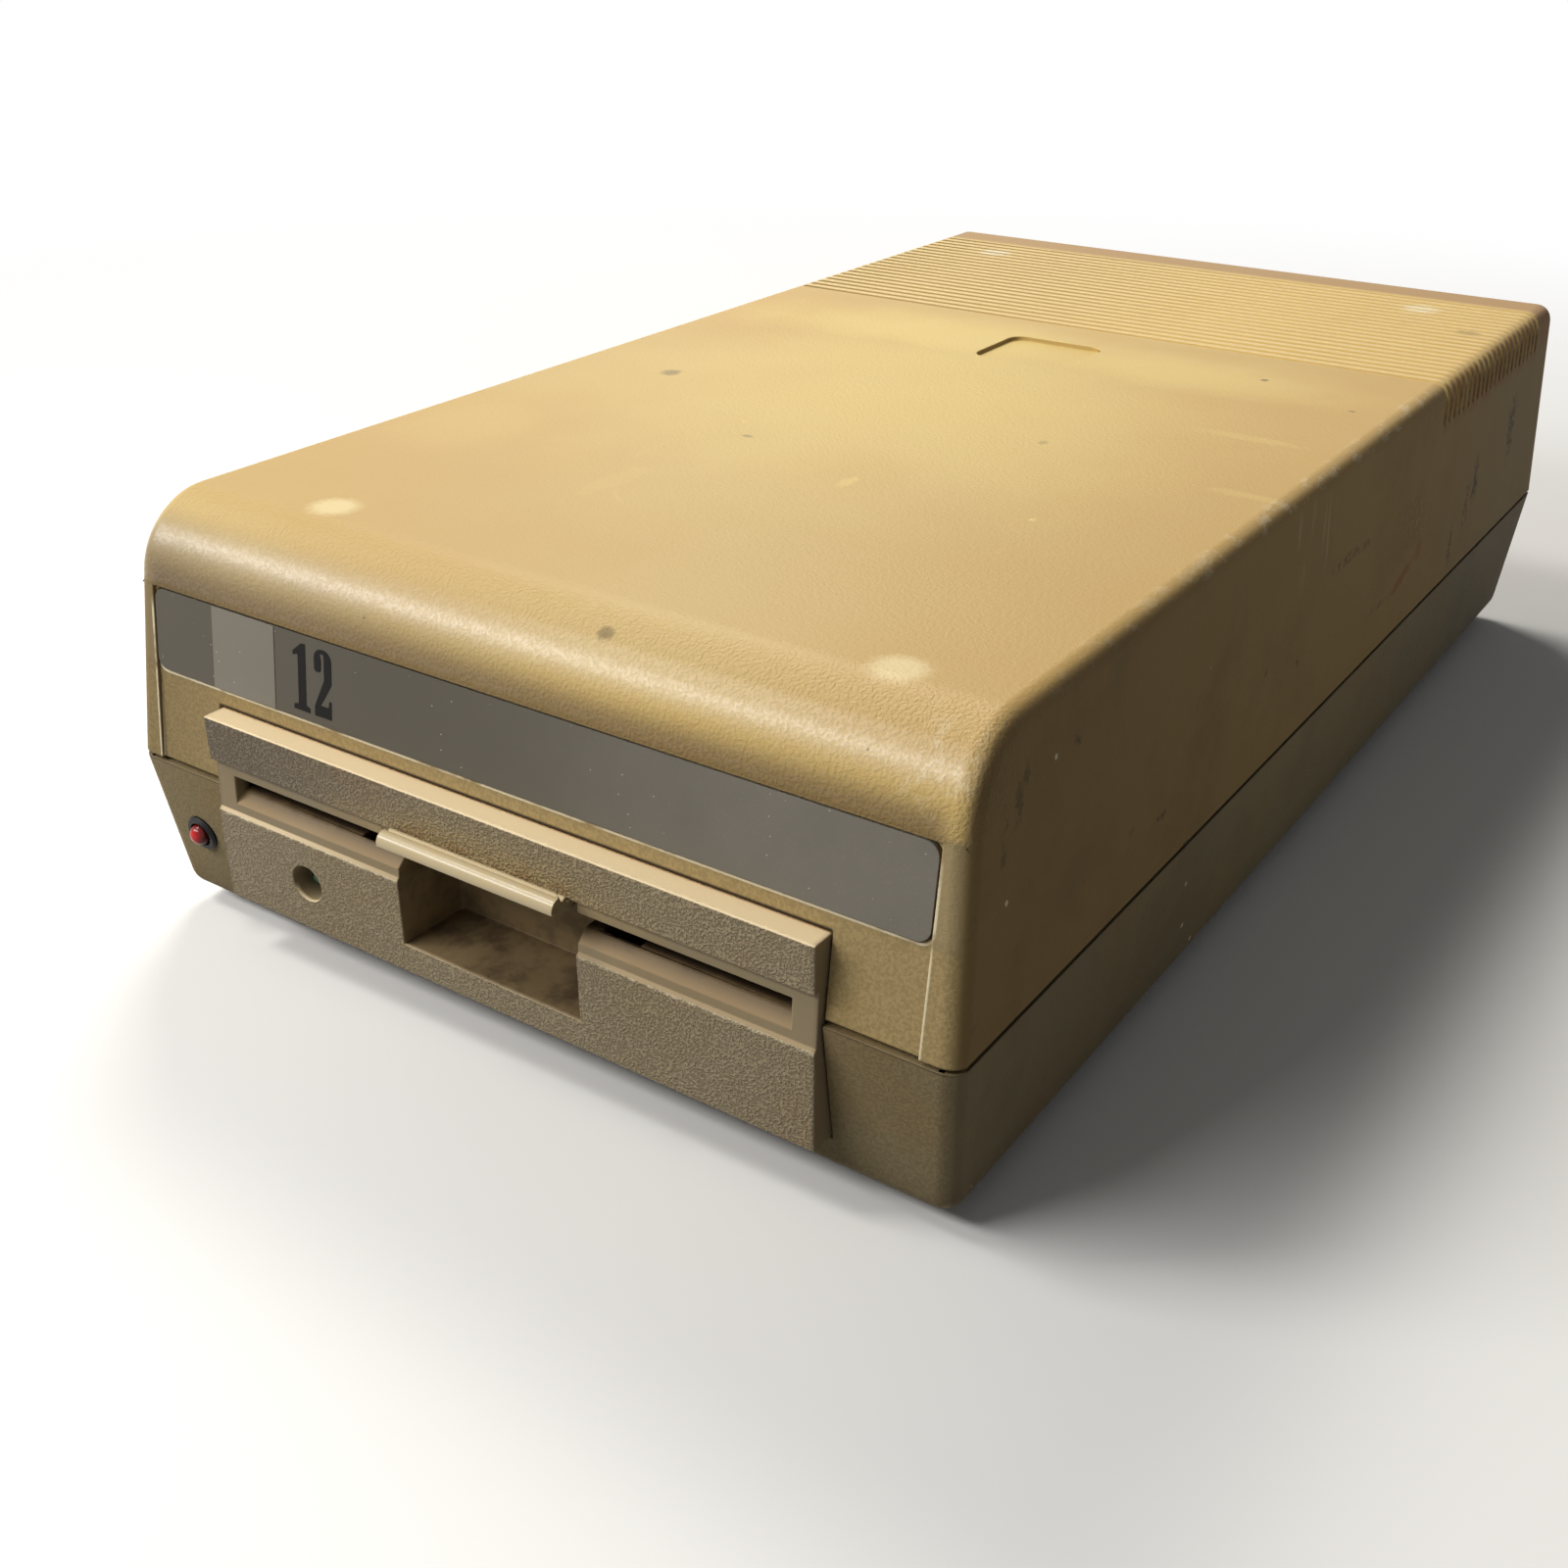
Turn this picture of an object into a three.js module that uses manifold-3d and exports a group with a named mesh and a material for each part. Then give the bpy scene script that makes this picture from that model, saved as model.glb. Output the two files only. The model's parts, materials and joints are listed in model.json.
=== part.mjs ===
import * as THREE from 'three';
import { mergeVertices } from 'three/addons/utils/BufferGeometryUtils.js';
import Module from 'manifold-3d';

const wasm = await Module();
wasm.setup();

// External floppy disk drive, in millimetres: X to the right, Y from the front to the back, Z up.
// Pieces are placed from the middle of the seam line's front edge, at table height.
// The whole is moved at the end, so that its own middle stands on the origin.

// Case: two plastic shells that meet at a dark groove.
const caseWidth = 200;
const caseDepth = 371;
const caseHeight = 97;
const seamHeight = 39.7;
const seamGap = 0.8;
const wall = 3;
const footHeight = 4;
const topSideLean = 3.5;
const topFrontLean = 4.46;
const topBackLean = 4.7;
const baseSideLean = 2.3;
const baseFrontLean = 7.3;
const baseBackLean = 9.8;
const frontTopRadius = 17.2;
const edgeRadius = 4;
const cornerRadius = 5.2;

// Disk that the drive takes, and the circles that its head reads.
const diskWidth = 133.4;
const diskThickness = 1.6;
const diskSideRoom = 0.8;
const diskFront = 9;
const diskHoleRadius = 14.3;
const outerTrackRadius = 57.2;
const innerTrackRadius = 36.5;

// Fascia: the plate with the slot and the finger pocket.
const fasciaBottom = 12.6;
const fasciaTop = 56.3;
const fasciaProudTop = 2.7;
const fasciaProudBottom = 0.1;
const fasciaDepth = 8;
const fasciaWall = 3.2;
const fasciaCheek = 5.3;
const slotSideRoom = 1.9;
const slotBottom = 37.4;
const slotTop = 44.3;
const bandBottom = 46.2;
const pocketWidth = 44.8;
const pocketFloor = 19.4;
const pocketDepth = 17;

// Clearances and the fineness of round shapes.
const gap = 0.3;
const overrun = 10;
const weld = 0.0001;
const roundSides = 16;
const fineSides = 24;
const smallSides = 10;
const arcSteps = 5;
const edgeSteps = 2;

// Levels and stations that several pieces share.
const underside = footHeight;
const floorTop = underside + wall;
const diskLevel = (slotBottom + slotTop) / 2;
const spindleY = diskFront + diskWidth / 2;
const headY = spindleY + outerTrackRadius;
const headTravel = outerTrackRadius - innerTrackRadius;
const upperRise = caseHeight - seamHeight;
const lowerRise = seamHeight - underside;
const half = 0.5;

// Helpers

// The solid of a closed geometry, with its shared corners merged and its empty triangles left out.
function solid(geometry) {
  const bare = geometry.clone();
  bare.deleteAttribute('normal');
  bare.deleteAttribute('uv');
  const merged = mergeVertices(bare, weld);
  const triangles = [];
  for (let i = 0; i < merged.index.count; i += 3) {
    const [a, b, c] = [merged.index.getX(i), merged.index.getX(i + 1), merged.index.getX(i + 2)];
    if (a !== b && b !== c && c !== a) triangles.push(a, b, c);
  }
  const vertProperties = new Float32Array(merged.attributes.position.array);
  const triVerts = new Uint32Array(triangles);
  return new wasm.Manifold(new wasm.Mesh({ numProp: 3, vertProperties, triVerts }));
}

const asSolid = (shape) => (shape.isBufferGeometry ? solid(shape) : shape);

function join(...shapes) {
  return shapes.map(asSolid).reduce((whole, next) => whole.add(next));
}

function cut(base, ...tools) {
  return tools.map(asSolid).reduce((whole, tool) => whole.subtract(tool), asSolid(base));
}

function common(first, second) {
  return asSolid(first).intersect(asSolid(second));
}

function geometryOf(shape) {
  const mesh = asSolid(shape).getMesh();
  const geometry = new THREE.BufferGeometry();
  geometry.setAttribute('position', new THREE.BufferAttribute(new Float32Array(mesh.vertProperties), 3));
  geometry.setIndex(new THREE.BufferAttribute(new Uint32Array(mesh.triVerts), 1));
  return geometry;
}

// A box between two corners.
function box([x0, x1], [y0, y1], [z0, z1]) {
  const geometry = new THREE.BoxGeometry(x1 - x0, y1 - y0, z1 - z0);
  return geometry.translate((x0 + x1) / 2, (y0 + y1) / 2, (z0 + z1) / 2);
}

// Round bars along each axis.
function post(x, y, [z0, z1], radius, sides = roundSides) {
  const geometry = new THREE.CylinderGeometry(radius, radius, z1 - z0, sides);
  return geometry.rotateX(Math.PI / 2).translate(x, y, (z0 + z1) / 2);
}

function barX([x0, x1], y, z, radius, sides = roundSides) {
  const geometry = new THREE.CylinderGeometry(radius, radius, x1 - x0, sides);
  return geometry.rotateZ(Math.PI / 2).translate((x0 + x1) / 2, y, z);
}

function barY(x, [y0, y1], z, radius, sides = roundSides) {
  const geometry = new THREE.CylinderGeometry(radius, radius, y1 - y0, sides);
  return geometry.translate(x, (y0 + y1) / 2, z);
}

// A turned piece about Z, from a profile of [radius, height] that starts and ends on the axis.
function turned(profile, sides = roundSides) {
  const points = profile.map(([radius, height]) => new THREE.Vector2(radius, height));
  return new THREE.LatheGeometry(points, sides).rotateX(Math.PI / 2);
}

// A ring about Z, from a closed profile.
function ring(profile, sides = roundSides) {
  return turned([...profile, profile[0]], sides);
}

// An outline through corners [u, v, radius], with an arc at each corner that has a radius.
function outline(corners) {
  const shape = new THREE.Shape();
  const count = corners.length;
  corners.forEach(([u, v, radius], i) => {
    const draw = i === 0 ? 'moveTo' : 'lineTo';
    if (!radius) {
      shape[draw](u, v);
      return;
    }
    const corner = new THREE.Vector2(u, v);
    const [last, next] = [corners[(i + count - 1) % count], corners[(i + 1) % count]];
    const before = new THREE.Vector2(last[0], last[1]).sub(corner).normalize();
    const after = new THREE.Vector2(next[0], next[1]).sub(corner).normalize();
    const halfAngle = Math.acos(before.dot(after)) / 2;
    const reach = radius / Math.tan(halfAngle);
    const start = corner.clone().addScaledVector(before, reach);
    const end = corner.clone().addScaledVector(after, reach);
    const inwards = before.clone().add(after).normalize();
    const centre = corner.clone().addScaledVector(inwards, radius / Math.sin(halfAngle));
    const from = Math.atan2(start.y - centre.y, start.x - centre.x);
    const to = Math.atan2(end.y - centre.y, end.x - centre.x);
    shape[draw](start.x, start.y);
    shape.absarc(centre.x, centre.y, radius, from, to, before.cross(after) > 0);
  });
  shape.closePath();
  return shape;
}

function extruded(shape, depth, options) {
  return new THREE.ExtrudeGeometry(
    shape, { depth, curveSegments: arcSteps, bevelEnabled: false, ...options });
}

// An outline of [y, z] drawn out along X.
const alongX = new THREE.Matrix4().makeBasis(
  new THREE.Vector3(0, 1, 0), new THREE.Vector3(0, 0, 1), new THREE.Vector3(1, 0, 0));

function prismX(corners, [x0, x1], options) {
  return extruded(outline(corners), x1 - x0, options).applyMatrix4(alongX).translate(x0, 0, 0);
}

// An outline of [x, z] drawn out along Y.
const alongY = new THREE.Matrix4().makeBasis(
  new THREE.Vector3(1, 0, 0), new THREE.Vector3(0, 0, 1), new THREE.Vector3(0, -1, 0));

function prismY(corners, [y0, y1]) {
  return extruded(outline(corners), y1 - y0).applyMatrix4(alongY).translate(0, y1, 0);
}

// An outline of [x, y] drawn out along Z.
function prismZ(corners, [z0, z1]) {
  return extruded(outline(corners), z1 - z0).translate(0, 0, z0);
}

// A rectangle's corners with one radius.
function roundedBox([u0, u1], [v0, v1], radius) {
  return [[u0, v0, radius], [u1, v0, radius], [u1, v1, radius], [u0, v1, radius]];
}

// A smooth tube through points, with flat ends.
function tube(points, radius, steps, sides) {
  const section = new THREE.Shape();
  for (let i = 0; i < sides; i++) {
    const angle = 2 * Math.PI * i / sides;
    section[i === 0 ? 'moveTo' : 'lineTo'](radius * Math.cos(angle), radius * Math.sin(angle));
  }
  section.closePath();
  const extrudePath = new THREE.CatmullRomCurve3(points.map((place) => new THREE.Vector3(...place)));
  return new THREE.ExtrudeGeometry(section, { steps, extrudePath, bevelEnabled: false });
}

const part = new THREE.Group();

function add(name, shape, look, place = {}, parent = part) {
  const material = new THREE.MeshStandardMaterial(look);
  const mesh = new THREE.Mesh(geometryOf(shape), material);
  mesh.name = name;
  if (place.position) mesh.position.set(...place.position);
  if (place.turn) mesh.rotation.set(...place.turn);
  parent.add(mesh);
  return mesh;
}

// Looks

const agedTan = { color: '#c9ad78', roughness: 0.55, metalness: 0 };
const agedOlive = { color: '#8d8468', roughness: 0.6, metalness: 0 };
const fasciaGrey = { color: '#8e8570', roughness: 0.7, metalness: 0 };
const cream = { color: '#e2d5ae', roughness: 0.3, metalness: 0 };
const plateGrey = { color: '#7a766b', roughness: 0.5, metalness: 0.2 };
const blackPlastic = { color: '#1c1b1a', roughness: 0.5, metalness: 0 };
const blackRubber = { color: '#2a2927', roughness: 0.9, metalness: 0 };
const redLens = { color: '#8e1410', roughness: 0.2, metalness: 0 };
const greenLens = { color: '#2f8a3c', roughness: 0.2, metalness: 0 };
const castMetal = { color: '#a6a8a8', roughness: 0.55, metalness: 0.8 };
const sheetMetal = { color: '#b9b7ae', roughness: 0.4, metalness: 0.9 };
const steel = { color: '#c4c6c8', roughness: 0.25, metalness: 1 };
const darkSteel = { color: '#55565a', roughness: 0.45, metalness: 0.9 };
const brass = { color: '#b08f4a', roughness: 0.35, metalness: 1 };
const boardGreen = { color: '#2f5a35', roughness: 0.5, metalness: 0 };
const felt = { color: '#d8d2c2', roughness: 1, metalness: 0 };
const coilTape = { color: '#c08a2e', roughness: 0.6, metalness: 0 };
const blueSleeve = { color: '#25406e', roughness: 0.4, metalness: 0 };
const greyLead = { color: '#6d6d70', roughness: 0.7, metalness: 0 };

// Case shells

function upperFront(z) {
  return topFrontLean * (z - seamHeight) / upperRise;
}

function upperBack(z) {
  return caseDepth - topBackLean * (z - seamHeight) / upperRise;
}

function lowerFront(z) {
  return baseFrontLean * (seamHeight - z) / lowerRise;
}

function lowerBack(z) {
  return caseDepth - baseBackLean * (seamHeight - z) / lowerRise;
}

// Draws the sides in towards x = 0 as a share of the height above or below the seam.
function leanSides(geometry, sideLean, rise) {
  const places = geometry.attributes.position;
  for (let i = 0; i < places.count; i++) {
    const away = (places.getZ(i) - seamHeight) / rise;
    places.setX(i, places.getX(i) * (1 - away * sideLean / (caseWidth / 2)));
  }
  return geometry;
}

function caseBlock(corners, inset) {
  const edge = Math.max(edgeRadius - inset, edgeRadius / 4);
  const side = caseWidth / 2 - inset;
  const bevel = {
    bevelEnabled: true, bevelSize: edge, bevelThickness: edge, bevelOffset: -edge,
    bevelSegments: inset < wall ? edgeSteps : 1,
  };
  return prismX(corners, [-side + edge, side - edge], bevel);
}

function upperBlock(inset) {
  const low = seamHeight - overrun;
  const top = caseHeight - inset;
  const corners = [
    [upperFront(low) + inset, low],
    [upperBack(low) - inset, low],
    [upperBack(top) - inset, top, Math.max(cornerRadius - inset, cornerRadius / 3)],
    [upperFront(top) + inset, top, frontTopRadius - inset],
  ];
  return leanSides(caseBlock(corners, inset), topSideLean, upperRise);
}

function lowerBlock(inset) {
  const high = seamHeight + overrun;
  const bottom = underside + inset;
  const radius = Math.max(cornerRadius - inset, cornerRadius / 3);
  const corners = [
    [lowerFront(high) + inset, high],
    [lowerFront(bottom) + inset, bottom, radius],
    [lowerBack(bottom) - inset, bottom, radius],
    [lowerBack(high) - inset, high],
  ];
  return leanSides(caseBlock(corners, inset), baseSideLean, -lowerRise);
}

const caseReach = [-caseWidth, caseWidth];
const caseRun = [-overrun, caseDepth + overrun];
const seamTop = seamHeight + seamGap / 2;
const seamLow = seamHeight - seamGap / 2;

const upperOuter = solid(upperBlock(0));
const lowerOuter = solid(lowerBlock(0));
const upperInner = solid(upperBlock(wall));
const lowerInner = solid(lowerBlock(wall));

// The outermost layer of the upper shell, as thick as a recess is deep.
function upperSkin(depth) {
  return cut(upperOuter, upperBlock(depth));
}

// Screw bosses stand in the four corners, beside the drive and the rear panel.
const bossMargin = 12.5;
const bossX = caseWidth / 2 - bossMargin;
const bossInset = 25;
const bossRadius = 5.3;
const bossTopRadius = 4.4;
const screwHoleRadius = 1.9;
const screwHeadRoom = 3.8;
const screwSeat = 26;
const screwReach = 58;
const bossPlaces = [
  [-bossX, bossInset], [bossX, bossInset], [-bossX, caseDepth - bossInset], [bossX, caseDepth - bossInset],
];

// Opening in the front for the fascia, and one in the back for the rear panel.
const slotWidth = diskWidth + 2 * slotSideRoom;
const fasciaWidth = slotWidth + 2 * fasciaCheek;
const fasciaHalf = fasciaWidth / 2;
const fasciaWindow = box(
  [-fasciaHalf - gap, fasciaHalf + gap], [-overrun, fasciaDepth + overrun],
  [fasciaBottom - gap, fasciaTop + gap]);

const rearWindowMargin = 18;
const rearWindowHalf = caseWidth / 2 - rearWindowMargin;
const rearWindowBottom = 14;
const rearWindowTop = 62;
const rearInset = 17;
const rearPanelY = caseDepth - rearInset;
const rearWindow = prismY(
  roundedBox([-rearWindowHalf, rearWindowHalf], [rearWindowBottom, rearWindowTop], edgeRadius),
  [rearPanelY, caseDepth + overrun]);

// Nameplate recess in the upper front: a shallow step, with a deeper bed for the plate.
const plateMargin = 7.9;
const plateWidth = caseWidth - 2 * plateMargin;
const plateBottom = 61;
const plateTop = 78.7;
const plateThickness = 1.2;
const plateRadius = 2.6;
const stepDepth = 0.8;
const bedDepth = 1.7;
const recessHalf = plateWidth / 2 + gap;
const frontStep = common(
  upperSkin(stepDepth), box([-recessHalf, recessHalf], [-overrun, overrun], [seamLow, plateTop + gap]));
const frontBed = common(
  upperSkin(bedDepth),
  prismY(
    roundedBox([-recessHalf, recessHalf], [plateBottom - gap, plateTop + gap], plateRadius + gap),
    [-overrun, overrun]));

// Rows of grooves across the rear of the top, wrapping down over the side edges.
const grooveCount = 22;
const grooveMargin = 23;
const grooveSpan = 92;
const grooveLast = caseDepth - grooveMargin;
const grooveFirst = grooveLast - grooveSpan;
const grooveWidth = 2;
const grooveDepth = 0.9;
const grooveDrop = 11;
const grooveSkin = upperSkin(grooveDepth);
const grooves = Array.from({ length: grooveCount }, (_, i) => {
  const y = grooveFirst + (grooveLast - grooveFirst) * i / (grooveCount - 1);
  return common(grooveSkin, box(
    caseReach, [y - grooveWidth / 2, y + grooveWidth / 2], [caseHeight - grooveDrop, caseHeight + overrun]));
});

// Shallow square bed on the top, left bare.
const bedSide = 26;
const bedAhead = 31.7;
const bedY = grooveFirst - bedAhead;
const squareBedDepth = 0.8;
const squareBed = prismZ(
  roundedBox([-bedSide / 2, bedSide / 2], [bedY - bedSide / 2, bedY + bedSide / 2], edgeRadius),
  [caseHeight - squareBedDepth, caseHeight + overrun]);

function topCover() {
  const above = box(caseReach, caseRun, [seamTop, caseHeight + overrun]);
  const shell = common(cut(upperOuter, upperInner), above);
  const bosses = bossPlaces.map(([x, y]) => post(
    x, y, [seamTop, caseHeight - wall / 2], bossTopRadius, smallSides));
  const holes = bossPlaces.map(([x, y]) => post(
    x, y, [seamTop - overrun, screwReach + gap], screwHoleRadius, smallSides));
  return cut(join(shell, ...bosses), ...holes, frontStep, frontBed, ...grooves, squareBed, fasciaWindow,
    rearWindow);
}

add('top_cover', topCover(), agedTan);

// The lower shell carries a lip that stands up behind the groove, so no light shows through the seam.
const lipThickness = 1.7;
const lipHeight = 3.4;
const lipRoot = 5;
const lipRootShare = 0.5;

// Seats on the floor for the drive and the transformer.
const driveSeatRadius = 4.5;
const driveSeatX = 62;
const driveSeatFront = 33;
const driveSeatBack = 205;
const deckThickness = 3.5;
const deckRise = 11.35;
const deckTop = diskLevel - deckRise;
const deckBottom = deckTop - deckThickness;
const transformerX = -36;
const transformerRearRoom = 71;
const transformerY = caseDepth - transformerRearRoom;
const coreWidth = 62;
const coreHeight = 48;
const coreStack = 26;
const coreHeadRoom = 4;
const railHeight = 3;
const railWidth = 5;
const coreBottom = floorTop + railHeight + gap;
const coreTop = coreBottom + coreHeight;

// Red activity light at the lower left of the front, square to the leaning wall.
const lightMargin = 13.7;
const lightX = lightMargin - caseWidth / 2;
const lightZ = 22.2;
const lightRadius = 2.5;
const holderRadius = 4.25;
const holderBodyRadius = 3.6;
const lightLean = Math.atan2(baseFrontLean, lowerRise);
const lightPlace = [lightX, lowerFront(lightZ), lightZ];
const lightMatrix = new THREE.Matrix4().makeRotationX(lightLean).setPosition(...lightPlace);

const footRadius = 5;
const footMargin = 33;
const footRearMargin = 32;
const footX = caseWidth / 2 - footMargin;
const footFront = 27;
const footBack = caseDepth - footRearMargin;
const footBed = 1;
const footPlaces = [[-footX, footFront], [footX, footFront], [-footX, footBack], [footX, footBack]];

const ventCount = 9;
const ventLength = 46;
const ventWidth = 3;
const ventPitch = 6.5;

function bottomCover() {
  const below = box(caseReach, caseRun, [0, seamLow]);
  const shell = common(cut(lowerOuter, lowerInner), below);
  const lipRing = cut(upperBlock(wall + gap), upperBlock(wall + gap + lipThickness));
  const lip = common(lipRing, box(caseReach, caseRun, [seamLow - lipRoot, seamTop + lipHeight]));
  const rootRing = cut(upperBlock(wall * lipRootShare), upperBlock(wall + gap + lipThickness));
  const root = common(rootRing, box(caseReach, caseRun, [seamLow - lipRoot, seamLow]));
  const floor = [underside + wall / 2, floorTop];
  const bosses = bossPlaces.map(([x, y]) => post(x, y, [floor[0], seamLow], bossRadius, smallSides));
  const seats = [-driveSeatX, driveSeatX].flatMap((x) => [driveSeatFront, driveSeatBack].map(
    (y) => post(x, y, [floor[0], deckBottom - gap], driveSeatRadius, smallSides)));
  const rails = [-1, 1].map((side) => {
    const x = transformerX + side * (coreWidth - railWidth) / 2;
    return box([x - railWidth / 2, x + railWidth / 2],
      [transformerY - coreStack / 2, transformerY + coreStack / 2], [floor[0], floorTop + railHeight]);
  });
  const headRooms = bossPlaces.map(([x, y]) => post(x, y, [0, screwSeat], screwHeadRoom, smallSides));
  const holes = bossPlaces.map(([x, y]) => post(
    x, y, [0, seamHeight + overrun], screwHoleRadius, smallSides));
  const beds = footPlaces.map(([x, y]) => post(x, y, [0, underside + footBed], footRadius + gap));
  const lightHole = barY(0, [-overrun, overrun], 0, holderBodyRadius + gap).applyMatrix4(lightMatrix);
  const vents = Array.from({ length: ventCount }, (_, i) => {
    const y = transformerY + ventPitch * (i - (ventCount - 1) / 2);
    return box([transformerX - ventLength / 2, transformerX + ventLength / 2],
      [y - ventWidth / 2, y + ventWidth / 2], [0, floorTop + overrun]);
  });
  return cut(join(shell, lip, root, ...bosses, ...seats, ...rails), ...headRooms, ...holes, ...beds,
    lightHole, ...vents, fasciaWindow, rearWindow);
}

add('bottom_cover', bottomCover(), agedOlive);

// Case screws and feet

const screwRadius = 1.5;
const screwHeadRadius = 3.2;
const screwHeadHeight = 2.4;
const screwSlot = 0.9;

bossPlaces.forEach(([x, y], i) => {
  const head = screwSeat - gap - screwHeadHeight;
  const body = turned([
    [0, head], [screwHeadRadius, head + screwSlot], [screwHeadRadius, screwSeat - gap],
    [screwRadius, screwSeat - gap], [screwRadius, screwReach - screwRadius], [0, screwReach],
  ], smallSides);
  const slot = box([-overrun, overrun], [-screwSlot / 2, screwSlot / 2], [head - overrun, head + screwSlot]);
  add(`case_screw_${i + 1}`, cut(body, slot), steel, { position: [x, y, 0] });
});

const footEdge = 0.7;
footPlaces.forEach(([x, y], i) => {
  const top = underside + footBed - gap;
  const body = turned([
    [0, 0], [footRadius - footEdge, 0], [footRadius, footEdge], [footRadius, top], [0, top],
  ]);
  add(`foot_${i + 1}`, body, blackRubber, { position: [x, y, 0] });
});

// Nameplate, with a square field at its left end

const upperLean = Math.atan2(topFrontLean, upperRise);
const fieldLeft = -74.6;
const fieldWidth = 18.1;
const fieldLine = 0.6;
const fieldDepth = 0.35;
const plateHeight = (plateTop - plateBottom) / Math.cos(upperLean);

function nameplate() {
  const plate = prismY(
    roundedBox([-plateWidth / 2, plateWidth / 2], [0, plateHeight], plateRadius), [0, plateThickness]);
  const lines = [fieldLeft, fieldLeft + fieldWidth].map((x) => box(
    [x - fieldLine / 2, x + fieldLine / 2], [-overrun, fieldDepth], [0, plateHeight]));
  return cut(plate, ...lines);
}

const plateLift = bedDepth - plateThickness - gap;
const plateNormal = [0, Math.cos(upperLean), -Math.sin(upperLean)];
add('nameplate', nameplate(), plateGrey, {
  position: [
    0, upperFront(plateBottom) + plateLift * plateNormal[1], plateBottom + plateLift * plateNormal[2],
  ],
  turn: [-upperLean, 0, 0],
});

// Activity light and its holder, drawn along Y and then set square to the wall

const holderRim = 0.8;
const holderLength = 8;
const lensReach = 2;
const lensFlange = 0.5;
const lensLength = 7;

function lightHolder() {
  const rim = barY(0, [-holderRim - gap / 3, -gap / 3], 0, holderRadius);
  const body = barY(0, [-holderRim, holderLength], 0, holderBodyRadius);
  return cut(join(rim, body), barY(0, [-overrun, holderLength + overrun], 0, lightRadius + gap));
}

function lens(radius, front, back) {
  const body = barY(0, [front + radius, back], 0, radius, roundSides);
  const dome = new THREE.SphereGeometry(radius, roundSides, arcSteps + 1).rotateX(Math.PI / 2);
  return join(body, dome.translate(0, front + radius, 0));
}

const lightSet = new THREE.Group();
lightSet.position.set(...lightPlace);
lightSet.rotation.x = lightLean;
part.add(lightSet);
add('light_holder', lightHolder(), blackPlastic, {}, lightSet);
const lightBody = join(
  lens(lightRadius, -lensReach, lensLength),
  barY(0, [holderLength + gap, holderLength + gap + lensFlange * 2], 0, lightRadius + lensFlange),
  barY(0, [lensLength - lensFlange, holderLength + gap * 2], 0, lightRadius - lensFlange));
add('activity_light', lightBody, redLens, {}, lightSet);

// Fascia

const shelfSetback = 1.4;
const jawTop = 34.1;
const jawRise = 1.3;
const rampBottom = 36.7;
const rampTop = 39.2;
const rampRun = 2.6;
const lipInner = 34;
const lipShort = 6;
const lipLong = 14;
const cheekWall = 2.5;
const tubWall = 2;
const fasciaEdge = 1.2;
const lampHoleX = -49.3;
const lampHoleZ = 24.1;
const lampHoleRadius = 4.1;
const lampBossWall = 1.4;
const lampBossDepth = 7;
const pocketHalf = pocketWidth / 2;

function fasciaFace(z) {
  const share = (z - fasciaBottom) / (fasciaTop - fasciaBottom);
  return -fasciaProudBottom - (fasciaProudTop - fasciaProudBottom) * share;
}

function driveFascia() {
  const block = prismX([
    [fasciaFace(fasciaBottom), fasciaBottom, fasciaEdge], [fasciaDepth, fasciaBottom],
    [fasciaDepth, fasciaTop], [fasciaFace(fasciaTop), fasciaTop, fasciaEdge],
  ], [-fasciaHalf, fasciaHalf]);
  const hollow = box(
    [-fasciaHalf + cheekWall, fasciaHalf - cheekWall], [fasciaWall, fasciaDepth + overrun],
    [fasciaBottom + cheekWall, fasciaTop - cheekWall]);
  const tub = box(
    [-pocketHalf - tubWall, pocketHalf + tubWall], [0, pocketDepth + tubWall],
    [pocketFloor - tubWall, slotBottom]);
  const lampBoss = barY(lampHoleX, [0, lampBossDepth], lampHoleZ, lampHoleRadius + lampBossWall);
  const shelfFace = fasciaFace(bandBottom) + shelfSetback;
  const shelf = prismX([
    [-overrun, jawTop], [fasciaFace(jawTop), jawTop], [shelfFace, jawTop + jawRise],
    [shelfFace, bandBottom], [-overrun, bandBottom],
  ], [-fasciaHalf - overrun, fasciaHalf + overrun]);
  const slot = prismX([
    [-overrun, rampBottom], [shelfFace, rampBottom], [shelfFace + rampRun, rampTop],
    [pocketDepth + overrun, rampTop], [pocketDepth + overrun, slotTop], [-overrun, slotTop],
  ], [-slotWidth / 2, slotWidth / 2]);
  const lips = [-1, 1].flatMap((side) => [[pocketHalf, lipShort], [lipInner, lipLong]].map(
    ([inner, back]) => {
      const across = [side * inner, side * slotWidth / 2].sort((a, b) => a - b);
      return box(across, [0, back], [rampTop - tubWall, rampTop]);
    }));
  const pocket = box([-pocketHalf, pocketHalf], [-overrun, pocketDepth], [pocketFloor, bandBottom]);
  const lampHole = barY(lampHoleX, [-overrun, pocketDepth], lampHoleZ, lampHoleRadius);
  const gateNotch = box(
    [-pocketHalf - tubWall, pocketHalf + tubWall], [fasciaWall, fasciaDepth + overrun],
    [bandBottom, fasciaTop + overrun]);
  return cut(join(cut(block, hollow), tub, lampBoss, ...lips), shelf, slot, pocket, lampHole, gateNotch);
}

add('drive_fascia', driveFascia(), fasciaGrey);

const lampRadius = 2.5;
const lampFront = 1;
const lampFlange = 2.4;
const powerLamp = join(
  lens(lampRadius, lampFront, lampBossDepth),
  barY(0, [lampBossDepth - lampFlange, lampBossDepth], 0, lampHoleRadius - gap));
add('power_light', powerLamp, greenLens, { position: [lampHoleX, 0, lampHoleZ] });

// Drive chassis, with the disk guides, gate shaft and clamp rod that it carries

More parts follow.
